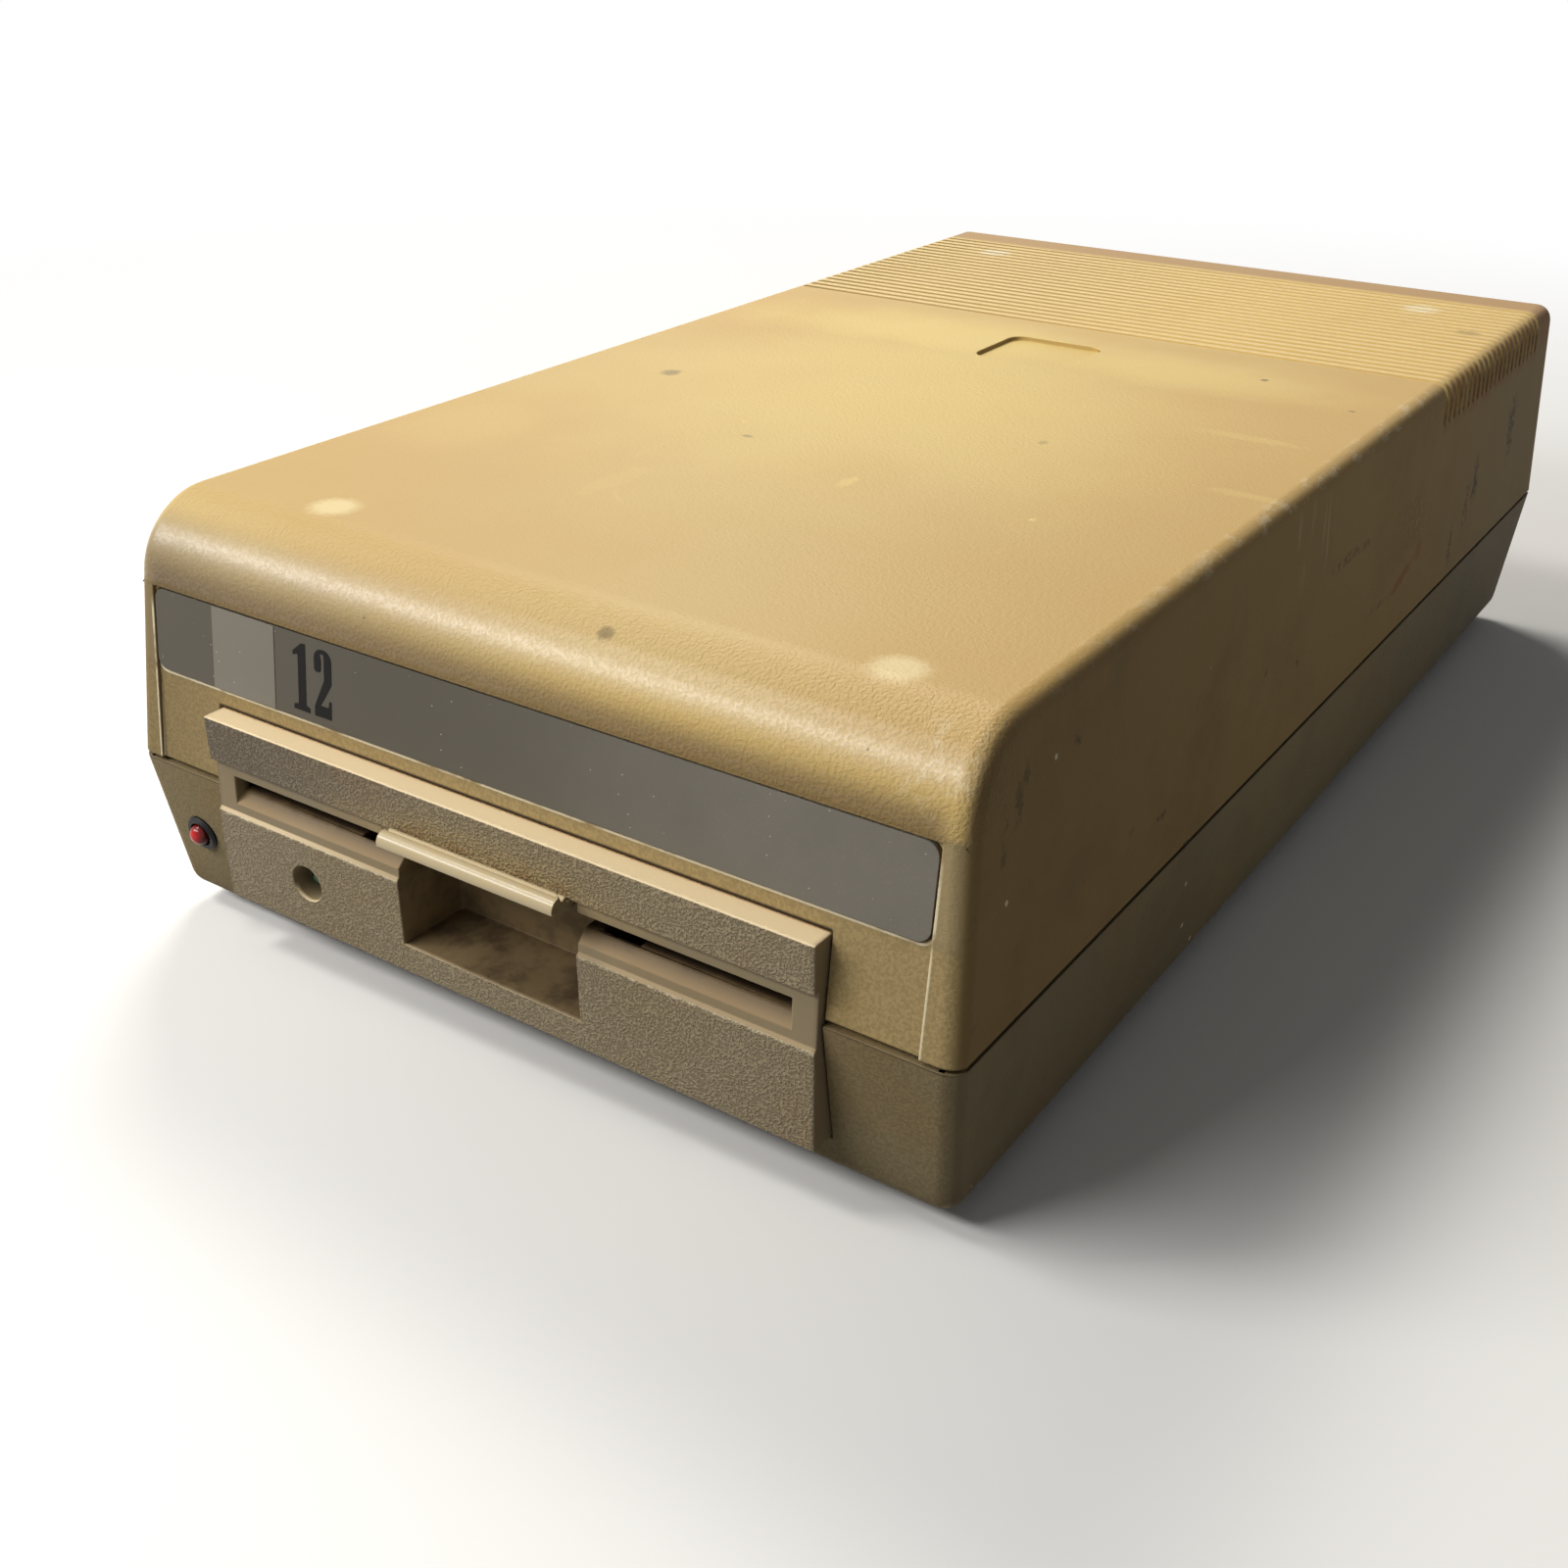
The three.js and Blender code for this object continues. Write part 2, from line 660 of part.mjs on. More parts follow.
const guideWall = 1.8;
const chassisWall = 3;
const chassisInner = diskWidth / 2 + diskSideRoom + guideWall + gap;
const chassisOuter = chassisInner + chassisWall;
const chassisFront = fasciaDepth + gap;
const chassisBack = 214;
const chassisBottom = 17;
const chassisTop = 50;
const deckFront = pocketDepth + tubWall + gap;
const bearingRadius = 11;
const bearingWall = 2.4;
const housingBottom = 20;
const spindleShaftRadius = 4;
const spindleFlangeRadius = 17.2;
const spindleFlangeTop = diskLevel - gap;
const spindleFlangeThickness = 4.2;
const housingTop = spindleFlangeTop - spindleFlangeThickness - 3 * gap;

const rodRadius = 3;
const rodX = 20;
const rodRise = 4.7;
const rodLevel = deckTop + rodRise;
const rodPostHalf = 5;
const rodPostLength = 5;
const carriageNose = 14;
const rodFront = headY - headTravel - carriageNose - rodPostLength - gap * 3;
const rodSpan = 93;
const rodBack = rodFront + rodSpan;

const capstanRadius = 8.42;
const bandThickness = 0.4;
const bandX = -31;
const capstanX = bandX - gap - capstanRadius;
const capstanBehindHead = 23.6;
const capstanY = headY + capstanBehindHead;
const stepperHole = 5;
const stepperRadius = 19;
const stepperBottom = 9.5;

const motorX = 53.6;
const motorY = 194;
const motorHole = 5;

const gateY = 44;
const gateZ = 57.6;
const gateShaftRadius = 2;
const gateEar = 4.2;
const clampRodY = 184;
const clampRodZ = 50;
const clampRodRadius = 2;
const clampEar = 4;
const clampEarX = 34;
const clampEarWidth = 4;

const bothSides = [-1, 1];

function driveChassis() {
  const walls = bothSides.map((side) => box(
    side > 0 ? [chassisInner, chassisOuter] : [-chassisOuter, -chassisInner],
    [chassisFront, chassisBack], [chassisBottom, chassisTop]));
  const ears = bothSides.flatMap((side) => {
    const across = side > 0 ? [chassisInner, chassisOuter] : [-chassisOuter, -chassisInner];
    return [
      box(across, [gateY - gateEar * 2, gateY + gateEar * 2], [chassisTop - gateEar, gateZ]),
      barX(across, gateY, gateZ, gateEar),
    ];
  });
  const rodEars = bothSides.flatMap((side) => {
    const across = [side * clampEarX - clampEarWidth / 2, side * clampEarX + clampEarWidth / 2];
    return [
      box(across, [clampRodY - clampEar, clampRodY + clampEar], [deckTop - deckThickness / 2, clampRodZ]),
      barX(across, clampRodY, clampRodZ, clampEar),
    ];
  });
  const deck = box(
    [-chassisInner - gap, chassisInner + gap], [deckFront, chassisBack], [deckBottom, deckTop]);
  const housing = post(
    0, spindleY, [housingBottom, housingTop], bearingRadius + gap + bearingWall, fineSides);
  const posts = bothSides.flatMap((side) => [rodFront, rodBack - rodPostLength].map((y) => box(
    [side * rodX - rodPostHalf, side * rodX + rodPostHalf], [y, y + rodPostLength],
    [deckTop - deckThickness / 2, rodLevel + rodRadius + gap * 4])));
  const bores = [
    post(0, spindleY, [0, caseHeight], bearingRadius + gap, fineSides),
    post(capstanX, capstanY, [0, caseHeight], stepperHole),
    post(motorX, motorY, [0, deckTop + overrun], motorHole),
    barX(caseReach, gateY, gateZ, gateShaftRadius + gap),
    barX([-clampEarX * 1.5, clampEarX * 1.5], clampRodY, clampRodZ, clampRodRadius + gap),
    ...bothSides.map((side) => barY(side * rodX, [rodFront - overrun, rodBack + overrun], rodLevel,
      rodRadius + gap)),
  ];
  const headWell = box(
    [-rodX + rodPostHalf, rodX - rodPostHalf],
    [rodFront + rodPostLength, rodBack - rodPostLength * 5], [deckBottom - overrun, deckTop + gap]);
  return cut(join(...walls, ...ears, ...rodEars, deck, housing, ...posts), ...bores, headWell);
}

add('drive_chassis', driveChassis(), castMetal);

// Disk guides: a channel on each side that holds the edge of the disk.
const guideReach = 7;
const guideFloor = 3;
const guideRoom = 1.35;
const guideStart = 1;
const guideEnd = 2;
const guideFront = deckFront + guideStart;
const guideBack = spindleY + diskWidth / 2 + guideEnd;

bothSides.forEach((side) => {
  const inner = diskWidth / 2 - guideReach;
  const outer = chassisInner - gap;
  const low = diskLevel - diskThickness / 2 - guideRoom / 2 - guideFloor;
  const high = diskLevel + diskThickness + guideRoom * 2 + guideWall;
  const body = box([inner, outer], [guideFront, guideBack], [deckTop + gap, high]);
  const channel = box(
    [inner - overrun, outer - guideWall], [guideFront - overrun, guideBack - guideWall],
    [low + guideFloor, high - guideWall]);
  const relief = box(
    [inner - overrun, outer - guideWall * 2], [guideFront + guideReach, guideBack - guideReach],
    [0, low]);
  const guide = cut(body, channel, relief);
  const name = side > 0 ? 'disk_guide_right' : 'disk_guide_left';
  add(name, side > 0 ? guide : guide.mirror([1, 0, 0]), blackPlastic);
});

// Spindle, bearings, flywheel, belt and motor

const coneTaper = 2;
const recessDepth = 2.7;
const spindleBottom = 9;
const bearingHeight = 6.5;
const flywheelBottom = 9.6;
const flywheelHeight = 7.4;
const flywheelRadius = 31;
const beltRadius = 30;
const flywheelHub = 9;
const flywheelWeb = 2.2;
const flywheelRim = 4;
const beltInset = 1.2;
const beltThickness = 0.8;
const beltClear = 0.2;

const spindle = turned([
  [0, spindleBottom], [spindleShaftRadius, spindleBottom],
  [spindleShaftRadius, spindleFlangeTop - spindleFlangeThickness],
  [spindleFlangeRadius, spindleFlangeTop - spindleFlangeThickness],
  [spindleFlangeRadius, spindleFlangeTop], [diskHoleRadius, spindleFlangeTop],
  [diskHoleRadius - coneTaper, spindleFlangeTop - recessDepth], [0, spindleFlangeTop - recessDepth],
], fineSides);
add('spindle', spindle, steel, { position: [0, spindleY, 0] });

function bearing() {
  const inner = spindleShaftRadius + gap;
  const middle = (inner + bearingRadius) / 2;
  const lip = (bearingRadius - inner) / 5;
  return ring([
    [inner, 0], [middle - lip, 0], [middle - lip, gap * 2], [middle + lip, gap * 2], [middle + lip, 0],
    [bearingRadius, 0], [bearingRadius, bearingHeight], [inner, bearingHeight],
  ]);
}

add('spindle_bearing_upper', bearing(), steel,
  { position: [0, spindleY, housingTop - bearingHeight - gap] });
add('spindle_bearing_lower', bearing(), steel, { position: [0, spindleY, housingBottom + gap] });

const flywheelTop = flywheelBottom + flywheelHeight;
const webLevel = flywheelBottom + flywheelHeight / 2;
const flywheel = ring([
  [spindleShaftRadius + gap, flywheelBottom], [flywheelHub, flywheelBottom],
  [flywheelHub, webLevel - flywheelWeb / 2],
  [flywheelRadius - flywheelRim, webLevel - flywheelWeb / 2],
  [flywheelRadius - flywheelRim, flywheelBottom], [flywheelRadius, flywheelBottom],
  [beltRadius, flywheelBottom + beltInset], [beltRadius, flywheelTop - beltInset],
  [flywheelRadius, flywheelTop], [flywheelRadius - flywheelRim, flywheelTop],
  [flywheelRadius - flywheelRim, webLevel + flywheelWeb / 2], [flywheelHub, webLevel + flywheelWeb / 2],
  [flywheelHub, flywheelTop], [spindleShaftRadius + gap, flywheelTop],
], fineSides);
add('flywheel_pulley', flywheel, castMetal, { position: [0, spindleY, 0] });

const pulleyRadius = 5.6;
const pulleyRim = 6.6;
const motorShaftRadius = 2;
const motorShaftReach = 8;
const motorShaftTop = deckTop + motorShaftReach;
const motorRadius = 15.3;
const motorHeight = 25;

const motorPulley = turned([
  [0, flywheelBottom], [pulleyRim, flywheelBottom], [pulleyRadius, flywheelBottom + beltInset],
  [pulleyRadius, flywheelTop - beltInset], [pulleyRim, flywheelTop], [motorShaftRadius, flywheelTop],
  [motorShaftRadius, motorShaftTop], [0, motorShaftTop],
]);
add('motor_pulley', motorPulley, brass, { position: [motorX, motorY, 0] });

const motorEdge = 1.5;
const motorCan = turned([
  [0, deckTop + gap], [motorRadius, deckTop + gap], [motorRadius, deckTop + motorHeight - motorEdge],
  [motorRadius - motorEdge, deckTop + motorHeight], [0, deckTop + motorHeight],
]);
add('drive_motor', cut(motorCan, post(0, 0, [0, motorShaftTop + gap], motorShaftRadius + gap)), darkSteel,
  { position: [motorX, motorY, 0] });

// A flat belt round both pulleys: an outer loop with an inner loop cut out of it.
function beltLoop(offset) {
  const big = beltRadius + offset;
  const small = pulleyRadius + offset;
  const toMotor = Math.atan2(motorY - spindleY, motorX);
  const wrap = Math.acos((big - small) / Math.hypot(motorX, motorY - spindleY));
  const path = new THREE.Shape();
  path.absarc(0, spindleY, big, toMotor + wrap, toMotor - wrap + 2 * Math.PI, false);
  path.absarc(motorX, motorY, small, toMotor - wrap, toMotor + wrap, false);
  path.closePath();
  return path;
}

const beltBand = [flywheelBottom + beltInset + beltClear, flywheelTop - beltInset - beltClear];
const beltOuter = extruded(beltLoop(beltClear + beltThickness), beltBand[1] - beltBand[0],
  { curveSegments: smallSides });
const beltInner = extruded(beltLoop(beltClear), beltBand[1] - beltBand[0] + 2 * overrun,
  { curveSegments: smallSides }).translate(0, 0, -overrun);
add('drive_belt', cut(beltOuter, beltInner), blackRubber, { position: [0, 0, beltBand[0]] });

// Head carriage on its two rods

bothSides.forEach((side) => {
  const name = side > 0 ? 'guide_rod_right' : 'guide_rod_left';
  add(name, barY(side * rodX, [rodFront + gap, rodBack - gap], rodLevel, rodRadius), steel);
});

const carriageHalf = 25.5;
const carriageTail = 15;
const rodCover = 1.1;
const carriageTop = rodLevel + rodRadius + rodCover;
const carriageBottom = deckTop + gap;
const backHalf = 12;
const padPivotBack = 36;
const padPivotY = headY + padPivotBack;
const padPivotRise = 3.75;
const padPivotZ = diskLevel + padPivotRise;
const padEar = 3.2;
const padPinRadius = 1.2;
const armWidth = 2.9;
const bandAhead = 11;
const bandBehind = 13;
const bandStandoff = 5;
const bandFront = capstanY - bandAhead;
const bandBack = capstanY + headTravel + bandBehind;
const bandPad = 4;
const bandMargin = 1;

function headCarriage() {
  const body = box(
    [-carriageHalf, carriageHalf], [headY - carriageNose, headY + carriageTail],
    [carriageBottom, carriageTop]);
  const tail = box([-backHalf, backHalf], [headY, padPivotY + padEar], [carriageBottom, carriageTop]);
  const ears = bothSides.map((side) => {
    const across = side > 0 ? [backHalf - padEar, backHalf] : [-backHalf, -backHalf + padEar];
    return join(
      box(across, [padPivotY - padEar, padPivotY + padEar], [carriageTop - padEar, padPivotZ]),
      barX(across, padPivotY, padPivotZ, padEar - 2 * gap));
  });
  const armRight = bandX + 2 * gap + bandThickness + bandStandoff;
  const arm = box([armRight - armWidth, armRight], [headY, bandBack], [carriageBottom, carriageTop - gap]);
  const holdFasts = [[bandFront, bandFront + bandPad], [bandBack - bandPad, bandBack]].map((along) => box(
    [bandX + bandThickness + gap, armRight], along, [carriageBottom, carriageTop - gap]));
  const reach = box([armRight - armWidth, 0], [headY, headY + carriageTail], [carriageBottom, carriageTop]);
  const bores = bothSides.map((side) => barY(side * rodX, caseRun, rodLevel, rodRadius + gap));
  const pin = barX(
    [-backHalf + padEar - overrun, backHalf + overrun], padPivotY, padPivotZ, padPinRadius + gap);
  return cut(join(body, tail, ...ears, arm, ...holdFasts, reach), ...bores, pin);
}

add('head_carriage', headCarriage(), blackPlastic);

const headLength = 12;
const headWidth = 8;
const headTop = diskLevel - gap;
const headEdge = 1.5;
const headBlock = prismX([
  [headY - headLength / 2, carriageTop + gap], [headY + headLength / 2, carriageTop + gap],
  [headY + headLength / 2, headTop, headEdge], [headY - headLength / 2, headTop, headEdge],
], [-headWidth / 2, headWidth / 2]);
add('read_write_head', headBlock, steel);

const bandStrip = box(
  [bandX, bandX + bandThickness], [bandFront + bandMargin, bandBack - bandMargin],
  [carriageBottom + bandMargin, carriageTop - bandMargin]);
add('head_band', bandStrip, steel);

// Stepper motor under the deck, with its capstan above

const capstanTop = carriageTop;
const stepperShaftRadius = 2.5;
const stepperShaftBottom = 15;
const stepperEdge = 1.2;
const stepperTop = deckBottom - gap;

const stepperBody = turned([
  [0, stepperBottom], [stepperRadius - stepperEdge, stepperBottom],
  [stepperRadius, stepperBottom + stepperEdge], [stepperRadius, stepperTop], [0, stepperTop],
]);
add('stepper_motor',
  cut(stepperBody, post(0, 0, [stepperShaftBottom - gap, caseHeight], stepperShaftRadius + gap)),
  darkSteel, { position: [capstanX, capstanY, 0] });

const capstanBody = turned([
  [0, stepperShaftBottom], [stepperShaftRadius, stepperShaftBottom],
  [stepperShaftRadius, carriageBottom + bandMargin], [capstanRadius, carriageBottom + bandMargin],
  [capstanRadius, capstanTop], [0, capstanTop],
]);
const keyway = box(
  [-stepperShaftRadius / 2, stepperShaftRadius / 2], [stepperShaftRadius, capstanRadius + overrun],
  [capstanTop - bandMargin, capstanTop + overrun]);
add('stepper_capstan', cut(capstanBody, keyway), brass, { position: [capstanX, capstanY, 0] });

// Clamp arm and hub clamp. The arm lies level when the drive is loaded, and at rest its front is lifted.

const clampLift = 4.4;
const clampReach = clampRodY - spindleY;
const clampAngle = Math.asin(clampLift / clampReach);
const clampPlateBottom = 47.6;
const clampPlateThickness = 1.5;
const clampPlateTop = clampPlateBottom + clampPlateThickness;
const clampHalf = 24;
const crossHalf = 35;
const tongueInner = 27;
const tongueFront = 10.5;
const crossAhead = 18;
const crossBehind = 22;
const crossFront = spindleY - crossAhead;
const crossBack = spindleY + crossBehind;
const clampTube = 4;
const clampFlange = 3.5;
const clampFlangeWall = 1.2;
const hubNeck = 4;
const liftStripX = 19.5;
const liftFootWidth = 4;
const liftRise = 0.95;
const liftBottom = diskLevel + liftRise;
const liftThickness = 1;
const liftRun = 6;
const liftFront = headY - headTravel - liftRun;
const liftBack = headY + liftRun;
const padArmRise = 2.75;
const padArmBottom = diskLevel + padArmRise;

function clampArm() {
  const right = [
    [clampHalf, clampRodY], [clampHalf, crossBack], [crossHalf, crossBack], [crossHalf, tongueFront],
    [tongueInner, tongueFront], [tongueInner, crossFront],
  ];
  const left = right.map(([x, y]) => [-x, y]).reverse();
  const plate = prismZ([...right, ...left], [clampPlateBottom, clampPlateTop]);
  const rodTube = barX([-clampHalf, clampHalf], clampRodY, clampRodZ, clampTube);
  const flanges = bothSides.map((side) => box(
    side > 0 ? [clampHalf - clampFlangeWall, clampHalf] : [-clampHalf, -clampHalf + clampFlangeWall],
    [crossBack, clampRodY], [clampPlateBottom, clampPlateTop + clampFlange]));
  const strip = box(
    [liftStripX, liftStripX + liftThickness], [liftFront, liftBack], [liftBottom, clampPlateTop]);
  const foot = box(
    [liftStripX - liftFootWidth, liftStripX + liftThickness], [liftFront, liftBack],
    [liftBottom, liftBottom + liftThickness]);
  const bore = barX(caseReach, clampRodY, clampRodZ, clampRodRadius + gap);
  const hubHole = post(0, spindleY, [0, caseHeight], hubNeck + gap);
  return cut(join(plate, rodTube, ...flanges, strip, foot), bore, hubHole);
}

const clampSet = new THREE.Group();
clampSet.position.set(0, clampRodY, clampRodZ);
clampSet.rotation.x = -clampAngle;
part.add(clampSet);
const fromClampRod = { position: [0, -clampRodY, -clampRodZ] };
add('clamp_arm', clampArm(), sheetMetal, fromClampRod, clampSet);

const hubFlange = 17;
const hubFlangeTop = clampPlateBottom - gap;
const hubFlangeBottom = diskLevel + gap;
const hubTip = spindleFlangeTop - recessDepth + gap * 1.5;
const hubCap = 7;
const hubCapThickness = 1.6;
const hubTaper = 1;
const hubClamp = turned([
  [0, hubTip], [diskHoleRadius - coneTaper - gap * 2, hubTip], [diskHoleRadius - hubTaper, hubFlangeBottom],
  [hubFlange, hubFlangeBottom], [hubFlange, hubFlangeBottom + hubTaper * 2],
  [hubNeck * 2, hubFlangeTop], [hubNeck, hubFlangeTop],
  [hubNeck, clampPlateTop + gap], [hubCap, clampPlateTop + gap],
  [hubCap, clampPlateTop + gap + hubCapThickness], [0, clampPlateTop + gap + hubCapThickness],
], fineSides);
add('hub_clamp', hubClamp, blackPlastic, { position: [0, spindleY - clampRodY, -clampRodZ] }, clampSet);

const clampRodEnd = clampEarX + clampEarWidth / 2 + gap;
add('clamp_rod', barX([-clampRodEnd, clampRodEnd], clampRodY, clampRodZ, clampRodRadius), steel);

// Pressure pad arm, lifted with the clamp arm

const padLift = 2.5;
const padAngle = Math.asin(padLift / padPivotBack);
const padArmThickness = 2;
const padArmHalf = 5;
const padArmNose = 8;
const padTube = 2.5;
const padRadius = 2.5;
const fingerReach = 19;
const fingerHalf = 3;
const padBottom = headTop + gap;
const armTube = backHalf - padEar - gap;

function padArm() {
  const plate = box(
    [-padArmHalf, padArmHalf], [headY - padArmNose, padPivotY],
    [padArmBottom, padArmBottom + padArmThickness]);
  const finger = box(
    [0, fingerReach - gap], [headY - fingerHalf, headY + fingerHalf],
    [padArmBottom, padArmBottom + padArmThickness]);
  const pivot = barX([-armTube, armTube], padPivotY, padPivotZ, padTube);
  const pin = barX([-backHalf, backHalf], padPivotY, padPivotZ, padPinRadius);
  return join(plate, finger, pivot, pin);
}

const padSet = new THREE.Group();
padSet.position.set(0, padPivotY, padPivotZ);
padSet.rotation.x = -padAngle;
part.add(padSet);
const fromPadPin = { position: [0, -padPivotY, -padPivotZ] };
add('pressure_pad_arm', padArm(), blackPlastic, fromPadPin, padSet);
add('pressure_pad', post(0, headY, [padBottom, padArmBottom - gap], padRadius), felt, fromPadPin, padSet);

// Gate lever: its glossy bar shows under the band, and pressing it down loads the disk

const gateStation = 13;
const gateTravel = clampLift * (clampRodY - gateStation) / clampReach;
const barWidth = 44;
const barDepth = 7.2;
const barBottom = 43.8;
const barHeight = 4;
const barProfileShares = [
  [0, 0.13], [0.24, 0], [0.97, 0.3], [1, 0.68], [0.89, 0.88],
  [0.72, 1], [0.61, 0.78], [0.36, 0.72], [0.36, 0.52],
];
const riserFront = fasciaWall + gap;
const riserThickness = 2.2;
const gatePlateBottom = 51.6;
const gatePlateThickness = 2;
const gateBend = 23;
const gateTube = 3.6;
const gateBodyHalf = barWidth / 2 - gap;
const pusherHalf = 2;
const pusherThickness = 1.5;
const pusherBottom = clampPlateTop + gateTravel + gap * 1.5;
const pusherWeb = 2.5;

function gateLever() {
  const bar = barProfileShares.map(([back, up]) => [-barDepth * back, barBottom + barHeight * up]);
  const [heel, ...lip] = bar;
  const shelfTop = lip[lip.length - 1][1];
  const plateTopLevel = gatePlateBottom + gatePlateThickness;
  const profile = [
    ...lip, [riserFront, shelfTop], [riserFront, plateTopLevel], [gateBend, plateTopLevel],
    [gateY, gateZ + gateTube - gap], [gateY, gateZ - gateTube + gap], [gateBend + gateTube, gatePlateBottom],
    [riserFront + riserThickness, gatePlateBottom], [riserFront + riserThickness, heel[1]], heel,
  ].reverse();
  const body = prismX(profile, [-gateBodyHalf, gateBodyHalf]);
  const hub = barX([-gateBodyHalf, gateBodyHalf], gateY, gateZ, gateTube);
  const along = [gateStation - pusherHalf, gateStation + pusherHalf];
  const pushers = bothSides.flatMap((side) => {
    const span = side > 0 ? [gateBodyHalf - pusherWeb, crossHalf] : [-crossHalf, pusherWeb - gateBodyHalf];
    const web = side > 0
      ? [gateBodyHalf - pusherWeb, gateBodyHalf]
      : [-gateBodyHalf, pusherWeb - gateBodyHalf];
    return [
      box(span, along, [pusherBottom, pusherBottom + pusherThickness]),
      box(web, along, [gatePlateBottom, pusherBottom + pusherThickness]),
    ];
  });
  return cut(join(body, hub, ...pushers), barX(caseReach, gateY, gateZ, gateShaftRadius + gap));
}

add('gate_lever', gateLever(), cream);
add('gate_shaft', barX([-chassisOuter, chassisOuter], gateY, gateZ, gateShaftRadius), steel);

// A torsion spring on the shaft, beside the lever's tube.
const springTurns = 3;
const springPitch = 1.3;
const springRadius = 3.2;
const springWire = 0.4;
const springSteps = 8;
const springSides = 5;
const springPoints = Array.from({ length: springTurns * springSteps + 1 }, (_, i) => {
  const angle = 2 * Math.PI * i / springSteps;
  const x = -gateBodyHalf - 2 * gap - springWire - springPitch * i / springSteps;
  return [x, gateY + springRadius * Math.cos(angle), gateZ + springRadius * Math.sin(angle)];
});
add('gate_spring', tube(springPoints, springWire, springTurns * springSteps, springSides), steel);

// Sensors on the deck

const sensorLevel = diskLevel - diskThickness / 2 - gap * 3;
const sensorHalf = 3;
const sensorX = -54;
const sensorY = 36;
const indexRadius = 25.4;

function sensor(x, y) {
  return cut(
    box([x - sensorHalf, x + sensorHalf], [y - sensorHalf, y + sensorHalf], [deckTop + gap, sensorLevel]),
    box([x - sensorHalf / 3, x + sensorHalf / 3], [y - overrun, y + overrun],
      [sensorLevel - sensorHalf, sensorLevel + overrun]));
}

add('write_protect_sensor', sensor(sensorX, sensorY), blackPlastic);
add('index_sensor', sensor(indexRadius, spindleY), blackPlastic);

// Board tray over the drive, and the boards' pieces

const trayThickness = 1.2;
const traySide = chassisOuter + gap;
const trayOuter = traySide + trayThickness;
const trayBottom = Math.max(gateZ + gateEar + gap * 2, coreTop + coreHeadRoom);
const trayTop = trayBottom + trayThickness;
const trayFront = 28;
const trayRearRoom = 30;
const trayBack = caseDepth - trayRearRoom;
const strapFront = 64;
const strapBack = 176;
const legLength = 20;
const spacerRadius = 3;
const spacerHeight = 3;
const boardThickness = 1.6;
const boardHalf = 69;
const boardFront = 36;
const boardMargin = 3;
const boardBack = trayBack - boardMargin;
const boardBottom = trayTop + spacerHeight;
const boardTop = boardBottom + boardThickness;
const spacerXs = [-boardHalf + spacerRadius * 2, boardHalf - spacerRadius * 2];
const spacerYs = [boardFront + overrun, (boardFront + boardBack) / 2, boardBack - overrun];
const traySlot = 30;

function boardTray() {
  const plate = box([-trayOuter, trayOuter], [trayFront, trayBack], [trayBottom, trayTop]);
  const sides = bothSides.flatMap((side) => {
    const across = side > 0 ? [traySide, trayOuter] : [-trayOuter, -traySide];
    return [
      box(across, [strapFront, strapBack], [chassisBottom + gap, trayTop]),
      box(across, [trayBack - legLength, trayBack], [floorTop + gap, trayTop]),
    ];
  });
  const spacers = spacerXs.flatMap((x) => spacerYs.map(
    (y) => post(x, y, [trayBottom, boardBottom - gap], spacerRadius, smallSides)));
  const slots = spacerXs.map((x) => box(
    [x / 2 - traySlot / 2, x / 2 + traySlot / 2], [spindleY - traySlot / 2, spindleY + traySlot / 2],
    [trayBottom - overrun, trayTop + half * spacerHeight]));
  return cut(join(plate, ...sides, ...spacers), ...slots);
}

add('board_tray', boardTray(), sheetMetal);

const boardCorner = 4;
const mainBoard = prismZ(
  roundedBox([-boardHalf, boardHalf], [boardFront, boardBack], boardCorner), [boardBottom, boardTop]);
add('main_board', mainBoard, boardGreen);

// Chips: a body with a notch, on two rows of legs.
const chipHeight = 3.8;
const chipLift = 1.4;
const legPitch = 2.54;
const legWidth = 1.2;
const legThickness = 0.4;

function chip(x, y, rows, width) {
  const length = rows * legPitch;
  const low = boardTop + gap + chipLift;
  const body = box(
    [x - width / 2, x + width / 2], [y - length / 2, y + length / 2], [low, low + chipHeight]);
  const notch = post(x, y - length / 2, [low + chipHeight / 2, low + chipHeight + overrun], legWidth,
    smallSides);
  const legs = bothSides.flatMap((side) => Array.from({ length: rows }, (_, i) => {
    const place = y - length / 2 + legPitch * (i + half);
    const edge = x + side * width / 2;
    return box([edge - legThickness, edge + legThickness], [place - legWidth / 2, place + legWidth / 2],
      [boardTop + gap, low + chipHeight / 2]);
  }));
  return join(cut(body, notch), ...legs);
}

const processorRows = 10;
const memoryRows = 7;
const wideChip = 14;
const chipColumn = 34;
const processorY = 150;
const memoryY = 210;
add('processor_chip', chip(-chipColumn, processorY, processorRows, wideChip), blackPlastic);
add('memory_chip', chip(-chipColumn, memoryY, memoryRows, wideChip), blackPlastic);

const capacitorRadius = 9;
const capacitorHeadRoom = 3.5;
const capacitorHeight = caseHeight - wall - capacitorHeadRoom - boardTop - gap;
const capacitorX = 10;
const capacitorInset = 76;
const capacitorY = boardBack - capacitorInset;
const capacitorPitch = 24;
const capacitorGroove = 0.8;
const capacitorShrink = 0.2;
['capacitor_large', 'capacitor_small'].forEach((name, i) => {
  const sizeShare = 1 - capacitorShrink * i;
  const radius = capacitorRadius * sizeShare;
  const low = boardTop + gap;
  const top = low + capacitorHeight * sizeShare;
  const body = turned([
    [0, low], [radius, low], [radius, low + capacitorGroove * 2],
    [radius - capacitorGroove, low + capacitorGroove * 3], [radius, low + capacitorGroove * 4],
    [radius, top - capacitorGroove], [radius - capacitorGroove, top], [0, top],
  ]);
  add(name, body, blueSleeve, { position: [capacitorX + capacitorPitch * i, capacitorY, 0] });
});

